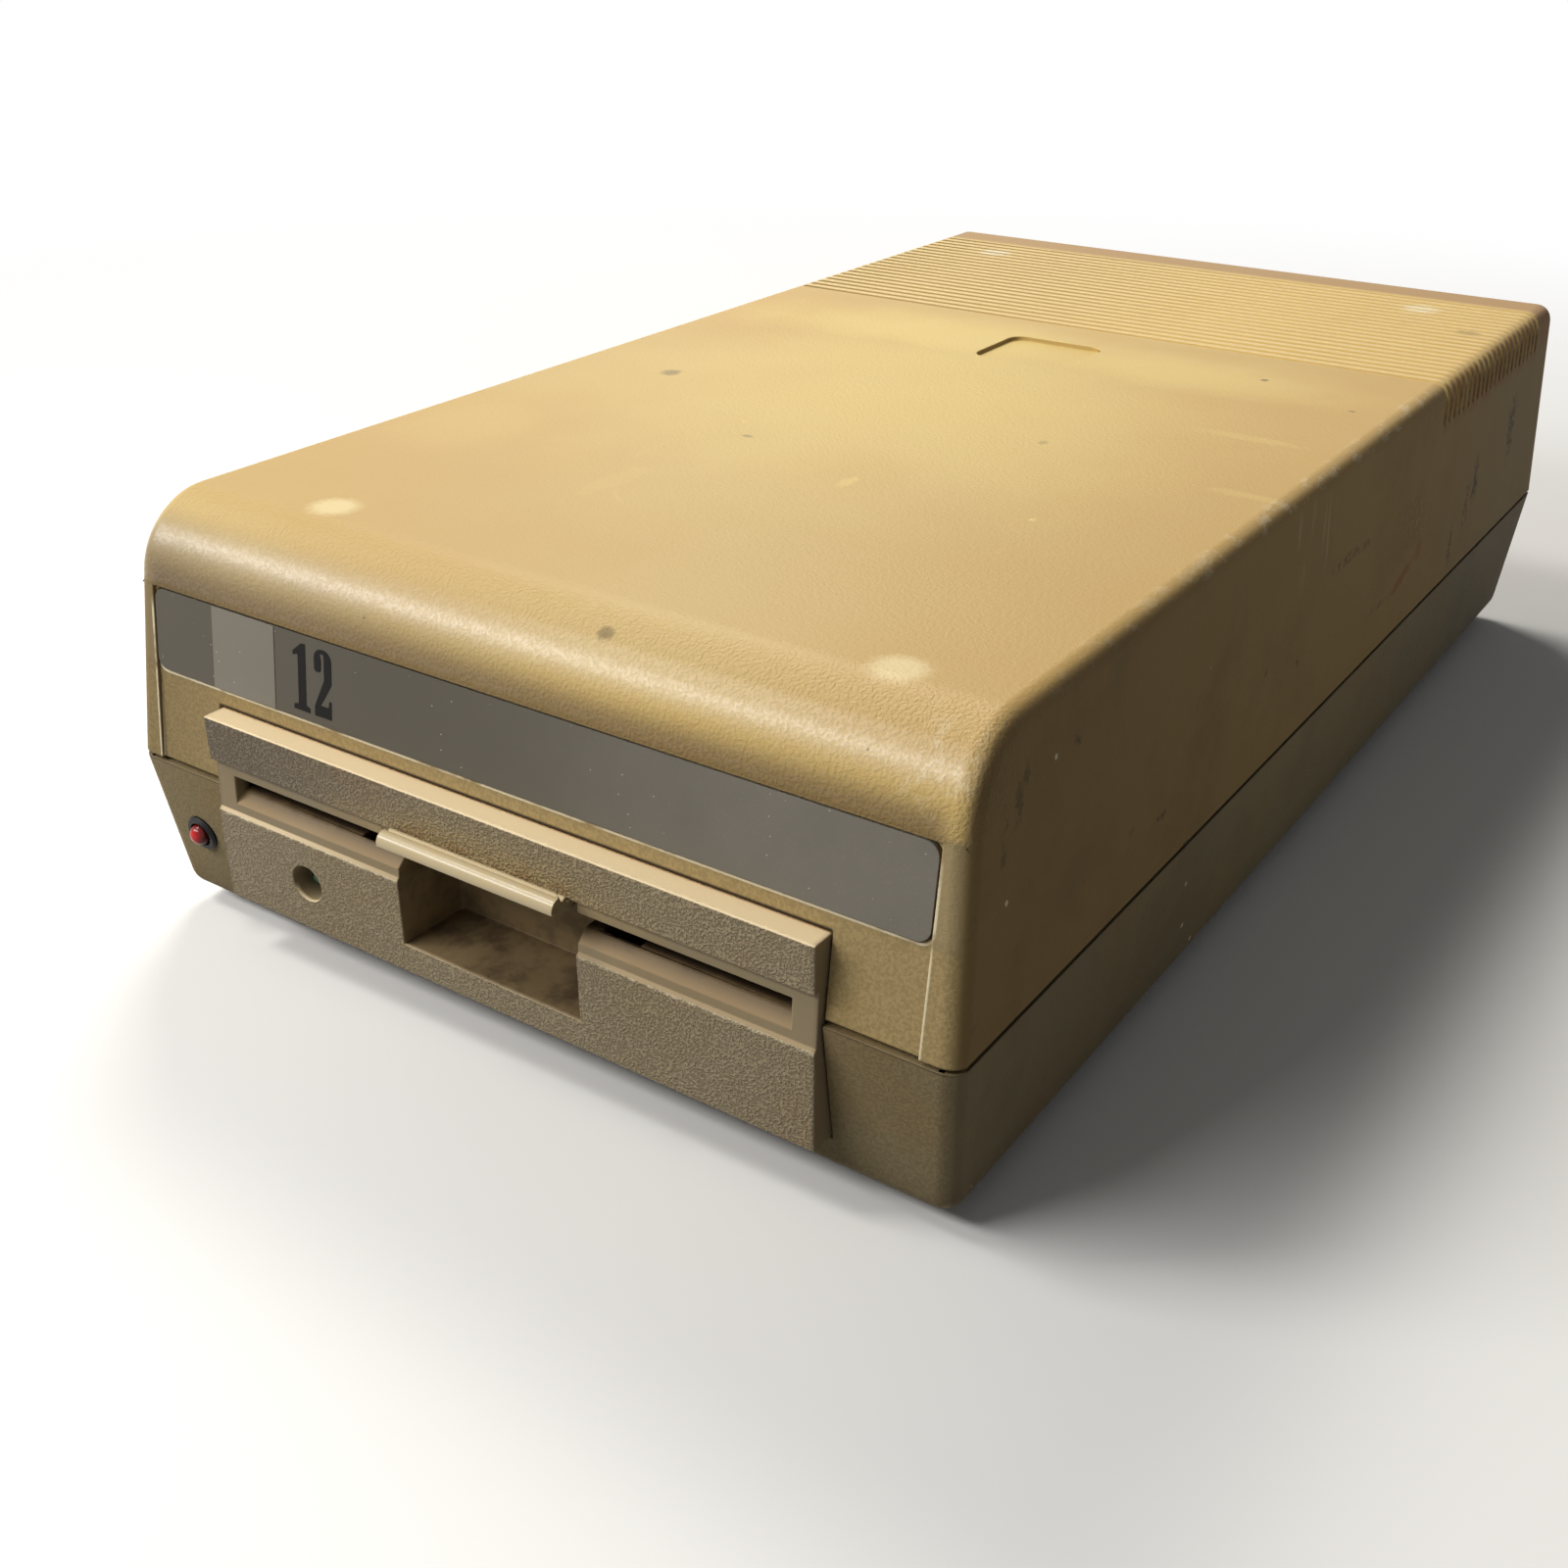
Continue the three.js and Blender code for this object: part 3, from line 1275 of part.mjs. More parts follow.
const sinkLength = 60;
const sinkX = 30;
const sinkInset = 32;
const sinkY = boardBack - sinkInset;
const sinkDepth = 20;
const sinkHeadRoom = 5.5;
const sinkHeight = caseHeight - wall - sinkHeadRoom - boardTop - gap;
const sinkBase = 3;
const sinkFins = 9;
const finThickness = 2;

function heatSink() {
  const low = boardTop + gap;
  const back = box([sinkX - sinkLength / 2, sinkX + sinkLength / 2], [sinkY, sinkY + sinkBase],
    [low, low + sinkHeight]);
  const fins = Array.from({ length: sinkFins }, (_, i) => {
    const x = sinkX - sinkLength / 2 + (sinkLength - finThickness) * i / (sinkFins - 1);
    return box([x, x + finThickness], [sinkY, sinkY + sinkDepth], [low, low + sinkHeight]);
  });
  return join(back, ...fins);
}

add('heat_sink', heatSink(), darkSteel);

// Transformer: a laminated core with two windows, and a coil round its middle leg

const windowWidth = 11;
const middleLeg = 18;
const yokeHeight = 9;
const coilRoom = 0.4;
const coilBulge = 8;

function transformerCore() {
  const core = box([transformerX - coreWidth / 2, transformerX + coreWidth / 2],
    [transformerY - coreStack / 2, transformerY + coreStack / 2], [coreBottom, coreTop]);
  const windows = bothSides.map((side) => {
    const near = transformerX + side * middleLeg / 2;
    const far = near + side * windowWidth;
    return box([Math.min(near, far), Math.max(near, far)], caseRun,
      [coreBottom + yokeHeight, coreTop - yokeHeight]);
  });
  return cut(core, ...windows);
}

function transformerCoil() {
  const high = [coreBottom + yokeHeight + coilRoom, coreTop - yokeHeight - coilRoom];
  const reach = middleLeg / 2 + windowWidth - coilRoom;
  const deep = coreStack / 2 + coilBulge;
  const outer = prismZ(
    roundedBox([transformerX - reach, transformerX + reach], [transformerY - deep, transformerY + deep],
      edgeRadius), high);
  const inner = box(
    [transformerX - middleLeg / 2 - coilRoom, transformerX + middleLeg / 2 + coilRoom],
    [transformerY - coreStack / 2 - coilRoom, transformerY + coreStack / 2 + coilRoom],
    [high[0] - overrun, high[1] + overrun]);
  return cut(outer, inner);
}

add('transformer_core', transformerCore(), darkSteel);
add('transformer_coil', transformerCoil(), coilTape);

// Rear panel and what it carries

const panelThickness = 1.8;
const panelSideLap = 1.2;
const panelHeadLap = 4;
const panelHalf = rearWindowHalf + panelSideLap;
const panelTop = rearWindowTop + panelHeadLap;
const panelFront = rearPanelY - gap - panelThickness;
const panelBack = rearPanelY - gap;
const panelLevel = 36;
const inletX = -54;
const fuseX = -20;
const socketXs = [6, 30];
const switchX = 60;
const inletWidth = 27;
const inletHeight = 20;
const fuseRadius = 6;
const socketRadius = 7.4;
const switchWidth = 13;
const switchHeight = 19.5;

function around(x, width, height, room) {
  return [[x - width / 2 - room, x + width / 2 + room],
    [panelLevel - height / 2 - room, panelLevel + height / 2 + room]];
}

function rearPanel() {
  const plate = box([-panelHalf, panelHalf], [panelFront, panelBack], [floorTop + gap, panelTop]);
  const inletHole = around(inletX, inletWidth, inletHeight, gap);
  const switchHole = around(switchX, switchWidth, switchHeight, gap);
  return cut(plate,
    box(inletHole[0], caseRun, inletHole[1]), box(switchHole[0], caseRun, switchHole[1]),
    barY(fuseX, caseRun, panelLevel, fuseRadius + gap),
    ...socketXs.map((x) => barY(x, caseRun, panelLevel, socketRadius + gap)));
}

add('rear_panel', rearPanel(), blackPlastic);

const flangeReach = 2;
const flangeThickness = 2;
const inletDepth = 20;
const inletWall = 1.6;
const cavityDepth = 15;
const bladeWidth = 4;
const bladeThickness = 1.4;
const bladeSpread = 7;
const bladeRise = 4;
const bladeReach = 11;

function mainsInlet() {
  const flangeSpan = around(inletX, inletWidth, inletHeight, flangeReach);
  const bodySpan = around(inletX, inletWidth, inletHeight, 0);
  const cavitySpan = around(inletX, inletWidth, inletHeight, -inletWall);
  const front = panelBack + gap + flangeThickness;
  const flange = box(flangeSpan[0], [panelBack + gap, front], flangeSpan[1]);
  const body = box(bodySpan[0], [front - inletDepth, front], bodySpan[1]);
  const cavity = box(cavitySpan[0], [front - cavityDepth, front + overrun], cavitySpan[1]);
  const blades = [[-bladeSpread, 0], [0, bladeRise], [bladeSpread, 0]].map(([x, z]) => box(
    [inletX + x - bladeThickness / 2, inletX + x + bladeThickness / 2],
    [front - cavityDepth - inletWall / 2, front - cavityDepth + bladeReach],
    [panelLevel + z - bladeWidth / 2, panelLevel + z + bladeWidth / 2]));
  return join(cut(join(flange, body), cavity), ...blades);
}

add('mains_inlet', mainsInlet(), blackPlastic);

const fuseDepth = 22;
const fuseCap = 7.6;
const fuseCapHeight = 5;
const fuseSlot = 1.2;

function fuseHolder() {
  const front = panelBack + gap + fuseCapHeight;
  const body = barY(
    fuseX, [front - fuseDepth - fuseCapHeight, front - fuseCapHeight / 2], panelLevel, fuseRadius);
  const cap = barY(fuseX, [panelBack + gap, front], panelLevel, fuseCap);
  const slot = box([fuseX - fuseCap, fuseX + fuseCap], [front - fuseSlot, front + overrun],
    [panelLevel - fuseSlot / 2, panelLevel + fuseSlot / 2]);
  return cut(join(body, cap), slot);
}

add('fuse_holder', fuseHolder(), blackPlastic);

const socketDepth = 14;
const socketRim = 9;
const socketRimThickness = 1.2;
const socketWall = 1;
const socketCavity = 9;
const contactRadius = 0.6;
const contactCircle = 4.3;
const contactCount = 6;
const contactArc = Math.PI * 1.35;
const contactSides = 6;

function serialSocket(x) {
  const front = panelBack + gap + socketRimThickness;
  const rim = barY(x, [panelBack + gap, front], panelLevel, socketRim);
  const body = barY(x, [front - socketDepth, front - socketRimThickness / 2], panelLevel, socketRadius);
  const cavity = barY(x, [front - socketCavity, front + overrun], panelLevel, socketRadius - socketWall);
  const contacts = Array.from({ length: contactCount }, (_, i) => {
    const angle = -Math.PI / 2 + contactArc * (i / (contactCount - 1) - half);
    return barY(x + contactCircle * Math.cos(angle),
      [front - socketCavity - socketWall, front - socketRimThickness * 2],
      panelLevel + contactCircle * Math.sin(angle), contactRadius, contactSides);
  });
  return join(cut(join(rim, body), cavity), ...contacts);
}

add('serial_socket_left', serialSocket(socketXs[0]), blackPlastic);
add('serial_socket_right', serialSocket(socketXs[1]), blackPlastic);

// Power switch: a frame, and a rocker that tips about X

const switchDepth = 18;
const switchWall = 1.4;
const rockerWidth = switchWidth - 2 * switchWall - 2 * gap;
const rockerHalf = 7.6;
const rockerBack = 5;
const rockerAngle = THREE.MathUtils.degToRad(9);
const rockerPin = 1.3;
const rockerPivotY = panelBack + gap + flangeThickness / 4;
const switchCavity = 9;

function powerSwitch() {
  const front = panelBack + gap + flangeThickness;
  const flangeSpan = around(switchX, switchWidth, switchHeight, flangeReach);
  const bodySpan = around(switchX, switchWidth, switchHeight, 0);
  const cavitySpan = around(switchX, switchWidth, switchHeight, -switchWall);
  const flange = box(flangeSpan[0], [panelBack + gap, front], flangeSpan[1]);
  const body = box(bodySpan[0], [front - switchDepth, front], bodySpan[1]);
  const cavity = box(cavitySpan[0], [front - switchCavity, front + overrun], cavitySpan[1]);
  const pinHole = barX([switchX - switchWidth / 2 + gap, switchX + switchWidth / 2 - gap], rockerPivotY,
    panelLevel, rockerPin + gap);
  return cut(join(flange, body), cavity, pinHole);
}

function powerRocker() {
  const slope = Math.tan(rockerAngle);
  const face = rockerHalf * slope;
  const rise = flangeThickness * 0.75 + face;
  const body = prismX([
    [rise - face, 0], [rise, rockerHalf], [-rockerBack * half, rockerHalf],
    [-rockerBack, 0], [-rockerBack * half, -rockerHalf], [rise, -rockerHalf],
  ].reverse(), [-rockerWidth / 2, rockerWidth / 2]);
  const pinHalf = (rockerWidth + switchWall) / 2;
  return join(body, barX([-pinHalf, pinHalf], 0, 0, rockerPin));
}

add('power_switch', powerSwitch(), blackPlastic);
add('power_rocker', powerRocker(), blackPlastic,
  { position: [switchX, rockerPivotY, panelLevel], turn: [-rockerAngle, 0, 0] });

// Inner leads, held at both ends

const leadRadius = 1.4;
const leadSides = 8;
const leadSteps = 20;
const coilBack = transformerY + coreStack / 2 + coilBulge;
const coilMiddle = (coreBottom + coreTop) / 2;
const edgeLevel = (boardBottom + boardTop) / 2;
const leadBend = 8;
add('transformer_lead', tube([
  [transformerX, coilBack + gap, coilMiddle],
  [transformerX, coilBack + gap + leadBend, coilMiddle],
  [transformerX, trayBack + leadRadius, coilMiddle + leadBend],
  [transformerX, trayBack + leadBend / 2, trayBottom],
  [transformerX, trayBack + leadBend / 2, edgeLevel - leadRadius],
  [transformerX, boardBack + leadRadius * 2, edgeLevel],
  [transformerX, boardBack + gap, edgeLevel],
], leadRadius, leadSteps, leadSides), greyLead);

const lightBack = holderLength + gap * 2 + lensFlange * 2;
const lightTail = new THREE.Vector3(0, lightBack, 0).applyMatrix4(lightMatrix);
const lightBend = new THREE.Vector3(0, lightBack + leadRadius * 2, 0).applyMatrix4(lightMatrix);
const leadRise = 96;
const leadAisle = -chassisOuter - leadBend * 0.7;
add('activity_lead', tube([
  lightTail.toArray(), lightBend.toArray(),
  [leadAisle - leadRadius, bossInset - leadRadius * 3, floorTop + leadBend * 1.5],
  [leadAisle, bossInset + leadBend * 2, floorTop + leadBend * 2],
  [-trayOuter - leadBend, leadRise - leadBend, floorTop + leadBend * 3],
  [-trayOuter - leadBend / 2, leadRise, trayBottom - leadBend],
  [-trayOuter - leadRadius, leadRise, edgeLevel - leadRadius],
  [-boardHalf - leadRadius * 2, leadRise, edgeLevel],
  [-boardHalf - gap, leadRise, edgeLevel],
], leadRadius, leadSteps, leadSides), greyLead);

// The whole stands with its middle on the origin: the gate's bar is foremost and the case's back is last.
part.position.y = (barDepth - caseDepth) / 2;

export default part;
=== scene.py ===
"""External floppy disk drive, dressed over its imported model.

Pieces are drawn in millimetres from the middle of the seam line's front edge at table height, as the model's
source draws them, and are then placed in the model's frame, in metres.
"""

import json
import math
from functools import partial, reduce
from types import SimpleNamespace

import bmesh
import bpy
from bpy.props import FloatProperty, FloatVectorProperty, IntProperty, PointerProperty, StringProperty
from mathutils import Color, Euler, Matrix, Vector


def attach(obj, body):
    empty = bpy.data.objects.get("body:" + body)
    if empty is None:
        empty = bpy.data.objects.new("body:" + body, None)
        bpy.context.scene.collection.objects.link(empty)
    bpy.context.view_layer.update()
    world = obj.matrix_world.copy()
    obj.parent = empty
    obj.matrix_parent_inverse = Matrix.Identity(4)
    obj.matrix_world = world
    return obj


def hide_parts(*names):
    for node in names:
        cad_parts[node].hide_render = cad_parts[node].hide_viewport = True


bl_info = {
    "name": "Floppy Disk Drive",
    "version": (1, 0, 0),
    "blender": (4, 5, 0),
    "location": "3D View > Sidebar > Disk Drive",
    "description": "Builds the finish of an external floppy disk drive over its model",
    "category": "Object",
}

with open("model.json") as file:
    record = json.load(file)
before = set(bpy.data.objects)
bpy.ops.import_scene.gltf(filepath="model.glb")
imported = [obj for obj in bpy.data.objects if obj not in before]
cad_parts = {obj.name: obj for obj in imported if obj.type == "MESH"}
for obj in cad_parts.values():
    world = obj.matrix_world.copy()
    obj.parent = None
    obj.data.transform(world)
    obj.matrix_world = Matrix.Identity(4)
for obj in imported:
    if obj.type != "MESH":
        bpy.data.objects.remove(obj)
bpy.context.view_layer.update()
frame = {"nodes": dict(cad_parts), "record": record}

MM = 0.001

# Sizes that no user changes, in millimetres. A cutter runs past what it cuts by the first.
OVERRUN = 20
UNDERSIDE = 4
WALL = 3
TOP_LEAN = SimpleNamespace(side=3.5, front=4.46, back=4.7)
BASE_LEAN = SimpleNamespace(side=2.3, front=7.3, back=9.8)
BAR_DEPTH = 7.2
CASE_RUN = 371

# From these drawings to the model's frame.
TO_FRAME = Matrix.Translation((0, (BAR_DEPTH - CASE_RUN) / 2 * MM, 0)) @ Matrix.Scale(MM, 4)


def shade(code):
    """The linear colour of a hex code as seen on a screen."""
    parts = [int(code[i:i + 2], 16) / 255 for i in (1, 3, 5)]
    return tuple(p / 12.92 if p <= 0.04045 else ((p + 0.055) / 1.055) ** 2.4 for p in parts)


def length(name, description, millimetres):
    return FloatProperty(
        name=name, description=description, default=millimetres * MM, min=0, unit="LENGTH", precision=4)


def colour(name, description, code):
    return FloatVectorProperty(
        name=name, description=description, default=shade(code), min=0, max=1, size=3, subtype="COLOR")


class DriveSizes(bpy.types.PropertyGroup):
    """Sizes of the drive's outer pieces."""

    case_width: length("Case width", "Widest part of the case, at the seam", 200)
    case_depth: length("Case depth", "Case from front to back, at the seam", CASE_RUN)
    case_height: length("Case height", "Top of the case over the table", 97)
    seam_height: length("Seam height", "Level of the groove between the shells", 39.7)
    seam_gap: length("Seam gap", "Height of the groove between the shells", 0.8)
    front_radius: length("Front radius", "Round front edge of the top", 17.2)
    corner_radius: length("Corner radius", "Round rear and lower edges", 5.2)
    edge_radius: length("Edge radius", "Round side edges", 4)
    plate_width: length("Nameplate width", "Width of the plate in the upper front", 184.2)
    plate_bottom: length("Nameplate bottom", "Lower edge of the plate", 61)
    plate_top: length("Nameplate top", "Upper edge of the plate", 78.7)
    groove_width: length("Groove width", "Width of one groove on the rear of the top", 2)
    groove_depth: length("Groove depth", "Depth of one groove on the rear of the top", 0.9)
    fascia_bottom: length("Fascia bottom", "Lower edge of the fascia", 12.6)
    fascia_top: length("Fascia top", "Upper edge of the fascia", 56.3)
    slot_bottom: length("Slot bottom", "Lower edge of the disk slot", 37.4)
    slot_top: length("Slot top", "Upper edge of the disk slot", 43.1)
    band_bottom: length("Band bottom", "Lower edge of the band over the slot", 46.2)
    pocket_width: length("Pocket width", "Width of the finger pocket", 44.8)
    pocket_depth: length("Pocket depth", "Depth of the finger pocket", 17)
    foot_radius: length("Foot radius", "Radius of a rubber foot", 5)
    groove_count: IntProperty(name="Grooves", description="Grooves on the rear of the top", default=22, min=1)
    plate_number: StringProperty(name="Number", description="Plain digits 1 and 2", default="12")


class DriveColours(bpy.types.PropertyGroup):
    """Colours of the drive's finishes."""

    tan: colour("Tan", "Yellowed upper shell", "#cbad69")
    # Less yellowed clouds, which are also painted sheen over the middle of the top and in a diagonal band.
    pale: colour("Pale tan", "Less yellowed clouds", "#e2c87b")
    # The grooved rear is painted lighter: partly a less yellowed tone, partly painted light that offsets the
    # shade in the grooves.
    rib_and_light: colour("Grooved rear", "Rear of the top", "#e6ca8a")
    mark: colour("Foot marks", "Round marks that feet left on the top", "#e6d5a2")
    amber: colour("Amber tan", "Most yellowed patches", "#c69e57")
    # Painted shade on the sides of the case, the slot's ramp and the finger pocket; elsewhere a darker tone
    # in random clouds.
    side: colour("Shaded side", "Grimy sides of the case", "#8e754c")
    olive: colour("Olive", "Lower shell", "#897b5b")
    # Light specks and worn edges, and also painted highlights: it lightens the crest of the round front edge,
    # its right corner, the nameplate recess's edges, and the fascia's lip and grain crests.
    dust_and_highlight: colour("Dust", "Light specks and worn edges", "#f0e4c4")
    # Dark dirt in spots and marks, and also painted shade: it darkens the sides, the front, the fascia's
    # left, slot and pocket, and the gate bar's back.
    grime_and_shade: colour("Grime", "Dark dirt in corners and marks", "#2e2116")
    rust: colour("Rust", "Reddish dirt between the grooves", "#8a5a38")
    fascia: colour("Fascia", "Plate round the slot", "#968769")
    # Upward faces of the fascia: cleaner than its front, and also painted light because they face up.
    clean_lit_ledge: colour("Ledge", "Clean upper faces of the fascia", "#efd9b0")
    cream: colour("Cream", "Gate bar", "#c2b08a")
    plate: colour("Plate", "Nameplate", "#7b766c")
    square: colour("Square", "Light square on the nameplate", "#aca89e")


def sizes_mm(context):
    """The panel's sizes by name, with lengths in millimetres."""
    group = context.scene.drive_sizes
    found = {name: getattr(group, name) for name in group.__annotations__}
    return SimpleNamespace(**{k: v / MM if isinstance(v, float) else v for k, v in found.items()})


# Meshes

AXES = {
    "X": lambda u, v, w: (w, u, v),
    "Y": lambda u, v, w: (u, w, v),
    "Z": lambda u, v, w: (u, v, w),
}


def link(name, data):
    piece = bpy.data.objects.new(name, data)
    bpy.context.scene.collection.objects.link(piece)
    return piece


def piece_of(name, bm):
    """A piece from a mesh that is being edited, which this ends."""
    mesh = bpy.data.meshes.new(name)
    bm.to_mesh(mesh)
    bm.free()
    return link(name, mesh)


def loft(name, rings, closed=False, place=Matrix.Identity(4)):
    """A skin through rings of points in millimetres, with flat caps unless the last ring joins the first."""
    bm = bmesh.new()
    made = [[bm.verts.new(point) for point in ring] for ring in rings]
    pairs = list(zip(made, made[1:])) + ([(made[-1], made[0])] if closed else [])
    for lower, upper in pairs:
        for i, vert in enumerate(lower):
            bm.faces.new((lower[i - 1], vert, upper[i], upper[i - 1]))
    if not closed:
        bm.faces.new(made[0])
        bm.faces.new(made[-1])
    bmesh.ops.remove_doubles(bm, verts=bm.verts, dist=0.0005)
    bmesh.ops.recalc_face_normals(bm, faces=bm.faces)
    bmesh.ops.transform(bm, matrix=TO_FRAME @ place, verts=bm.verts)
    return piece_of(name, bm)


def rounded(corners, steps=8):
    """Points round the corners (u, v, radius), with an arc at each corner that has a radius."""
    points = []
    for i, (u, v, radius) in enumerate(corners):
        corner = Vector((u, v))
        if not radius:
            points.append(tuple(corner))
            continue
        before = (Vector(corners[i - 1][:2]) - corner).normalized()
        after = (Vector(corners[(i + 1) % len(corners)][:2]) - corner).normalized()
        half = math.acos(max(-1, min(1, before.dot(after)))) / 2
        centre = corner + (before + after).normalized() * radius / math.sin(half)
        start = corner + before * radius / math.tan(half) - centre
        end = corner + after * radius / math.tan(half) - centre
        first = math.atan2(start.y, start.x)
        sweep = (math.atan2(end.y, end.x) - first + math.pi) % math.tau - math.pi
        for k in range(steps + 1):
            angle = first + sweep * k / steps
            points.append((centre.x + radius * math.cos(angle), centre.y + radius * math.sin(angle)))
    return points


def prism(name, corners, span, axis, steps=8, place=Matrix.Identity(4)):
    """An outline drawn out along an axis: corners are (y, z), (x, z) or (x, y) for X, Y or Z."""
    points = rounded(corners, steps)
    return loft(name, [[AXES[axis](u, v, w) for u, v in points] for w in span], place=place)


def box(name, xs, ys, zs):
    corners = [(xs[0], ys[0], 0), (xs[1], ys[0], 0), (xs[1], ys[1], 0), (xs[0], ys[1], 0)]
    return prism(name, corners, zs, "Z")


def rectangle(us, vs, radius):
    return [(us[0], vs[0], radius), (us[1], vs[0], radius), (us[1], vs[1], radius), (us[0], vs[1], radius)]


def turned(name, profile, axis="Z", centre=(0, 0), sides=48, closed=False, place=Matrix.Identity(4)):
    """A round piece from a profile of (radius, station) along an axis through centre."""
    turns = [math.tau * i / sides for i in range(sides)]
    rings = [
        [AXES[axis](centre[0] + r * math.cos(t), centre[1] + r * math.sin(t), w) for t in turns]
        for r, w in profile
    ]
    return loft(name, rings, closed, place)


def rod(name, radius, span, axis="Z", centre=(0, 0), sides=48, place=Matrix.Identity(4)):
    return turned(name, [(radius, station) for station in span], axis, centre, sides, place=place)


def settle(piece):
    """Turns a piece's modifiers into plain mesh."""
    graph = bpy.context.evaluated_depsgraph_get()
    graph.update()
    made = bpy.data.meshes.new_from_object(piece.evaluated_get(graph), depsgraph=graph)
    piece.modifiers.clear()
    old, piece.data = piece.data, made
    made.name = piece.name
    bpy.data.meshes.remove(old)
    return piece


def boolean(piece, operation, *tools):
    for tool in tools:
        change = piece.modifiers.new(operation.title(), "BOOLEAN")
        change.operation = operation
        change.solver = "EXACT"
        change.object = tool
    settle(piece)
    for tool in tools:
        bpy.data.objects.remove(tool)
    return piece


def cut(piece, *tools):
    return boolean(piece, "DIFFERENCE", *tools)


def join(piece, *others):
    return boolean(piece, "UNION", *others)


def merge(name, *pieces):
    """One piece that holds several separate solids."""
    bm = bmesh.new()
    for piece in pieces:
        bm.from_mesh(piece.data)
        bpy.data.objects.remove(piece)
    return piece_of(name, bm)


def soften(piece, width=0.3, segments=2, angle=40):
    """Rounds a piece's sharp edges, and shades its round stretches smooth and its flats flat."""
    if width:
        bevel = piece.modifiers.new("Bevel", "BEVEL")
        bevel.width = width * MM
        bevel.segments = segments
        bevel.limit_method = "ANGLE"
        bevel.angle_limit = math.radians(angle)
        bevel.use_clamp_overlap = False
        settle(piece)
    piece.data.shade_smooth()
    piece.data.set_sharp_from_angle(angle=math.radians(angle))
    weighted = piece.modifiers.new("Weighted normals", "WEIGHTED_NORMAL")
    weighted.keep_sharp = True
    return settle(piece)


# Nodes


class Nodes:
    """Adds nodes to one tree: a node's settings come first, then the values or links of its sockets."""

    def __init__(self, tree):
        self.tree = tree

    def node(self, kind, settings=None, inputs=None):
        made = self.tree.nodes.new(kind)
        for name, value in (settings or {}).items():
            setattr(made, name, value)
        for key, given in (inputs or {}).items():
            self.feed(made.inputs[key], given)
        return made

    def feed(self, socket, given):
        source = getattr(given, "socket", given)
        if isinstance(source, bpy.types.NodeSocket):
            self.tree.links.new(source, socket)
        else:
            socket.default_value = source

    def maths(self, operation, *terms):
        made = self.node("ShaderNodeMath", {"operation": operation}, dict(enumerate(terms)))
        return Number(self, made.outputs[0])

    def most(self, *numbers):
        return reduce(partial(self.maths, "MAXIMUM"), numbers)

    def mix(self, first, second, factor):
        """A colour between two, which are sockets or colours. The node has them as its inputs 6 and 7."""
        inputs = {0: factor, 6: opaque(first), 7: opaque(second)}
        return self.node("ShaderNodeMix", {"data_type": "RGBA"}, inputs).outputs[2]


def opaque(given):
    """A colour with its alpha. Anything else stays as it is."""
    return (*given[:3], 1) if isinstance(given, (tuple, Color)) else given


def darker(tone, share):
    """A share of a colour's light, which may be over 1."""
    return tuple(min(part * share, 1.0) for part in tone)


class Number:
    """A number socket of a tree. Python's operators add Math nodes to it."""

    def __init__(self, nodes, socket):
        self.nodes = nodes
        self.socket = socket

    def __add__(self, other):
        return self.nodes.maths("ADD", self, other)

    def __sub__(self, other):
        return self.nodes.maths("SUBTRACT", self, other)

    def __rsub__(self, other):
        return self.nodes.maths("SUBTRACT", other, self)

    def __mul__(self, other):
        return self.nodes.maths("MULTIPLY", self, other)

    def __truediv__(self, other):
        return self.nodes.maths("DIVIDE", self, other)

    def __pow__(self, other):
        return self.nodes.maths("POWER", self, other)

    def __abs__(self):
        return self.nodes.maths("ABSOLUTE", self)

    __radd__ = __add__
    __rmul__ = __mul__


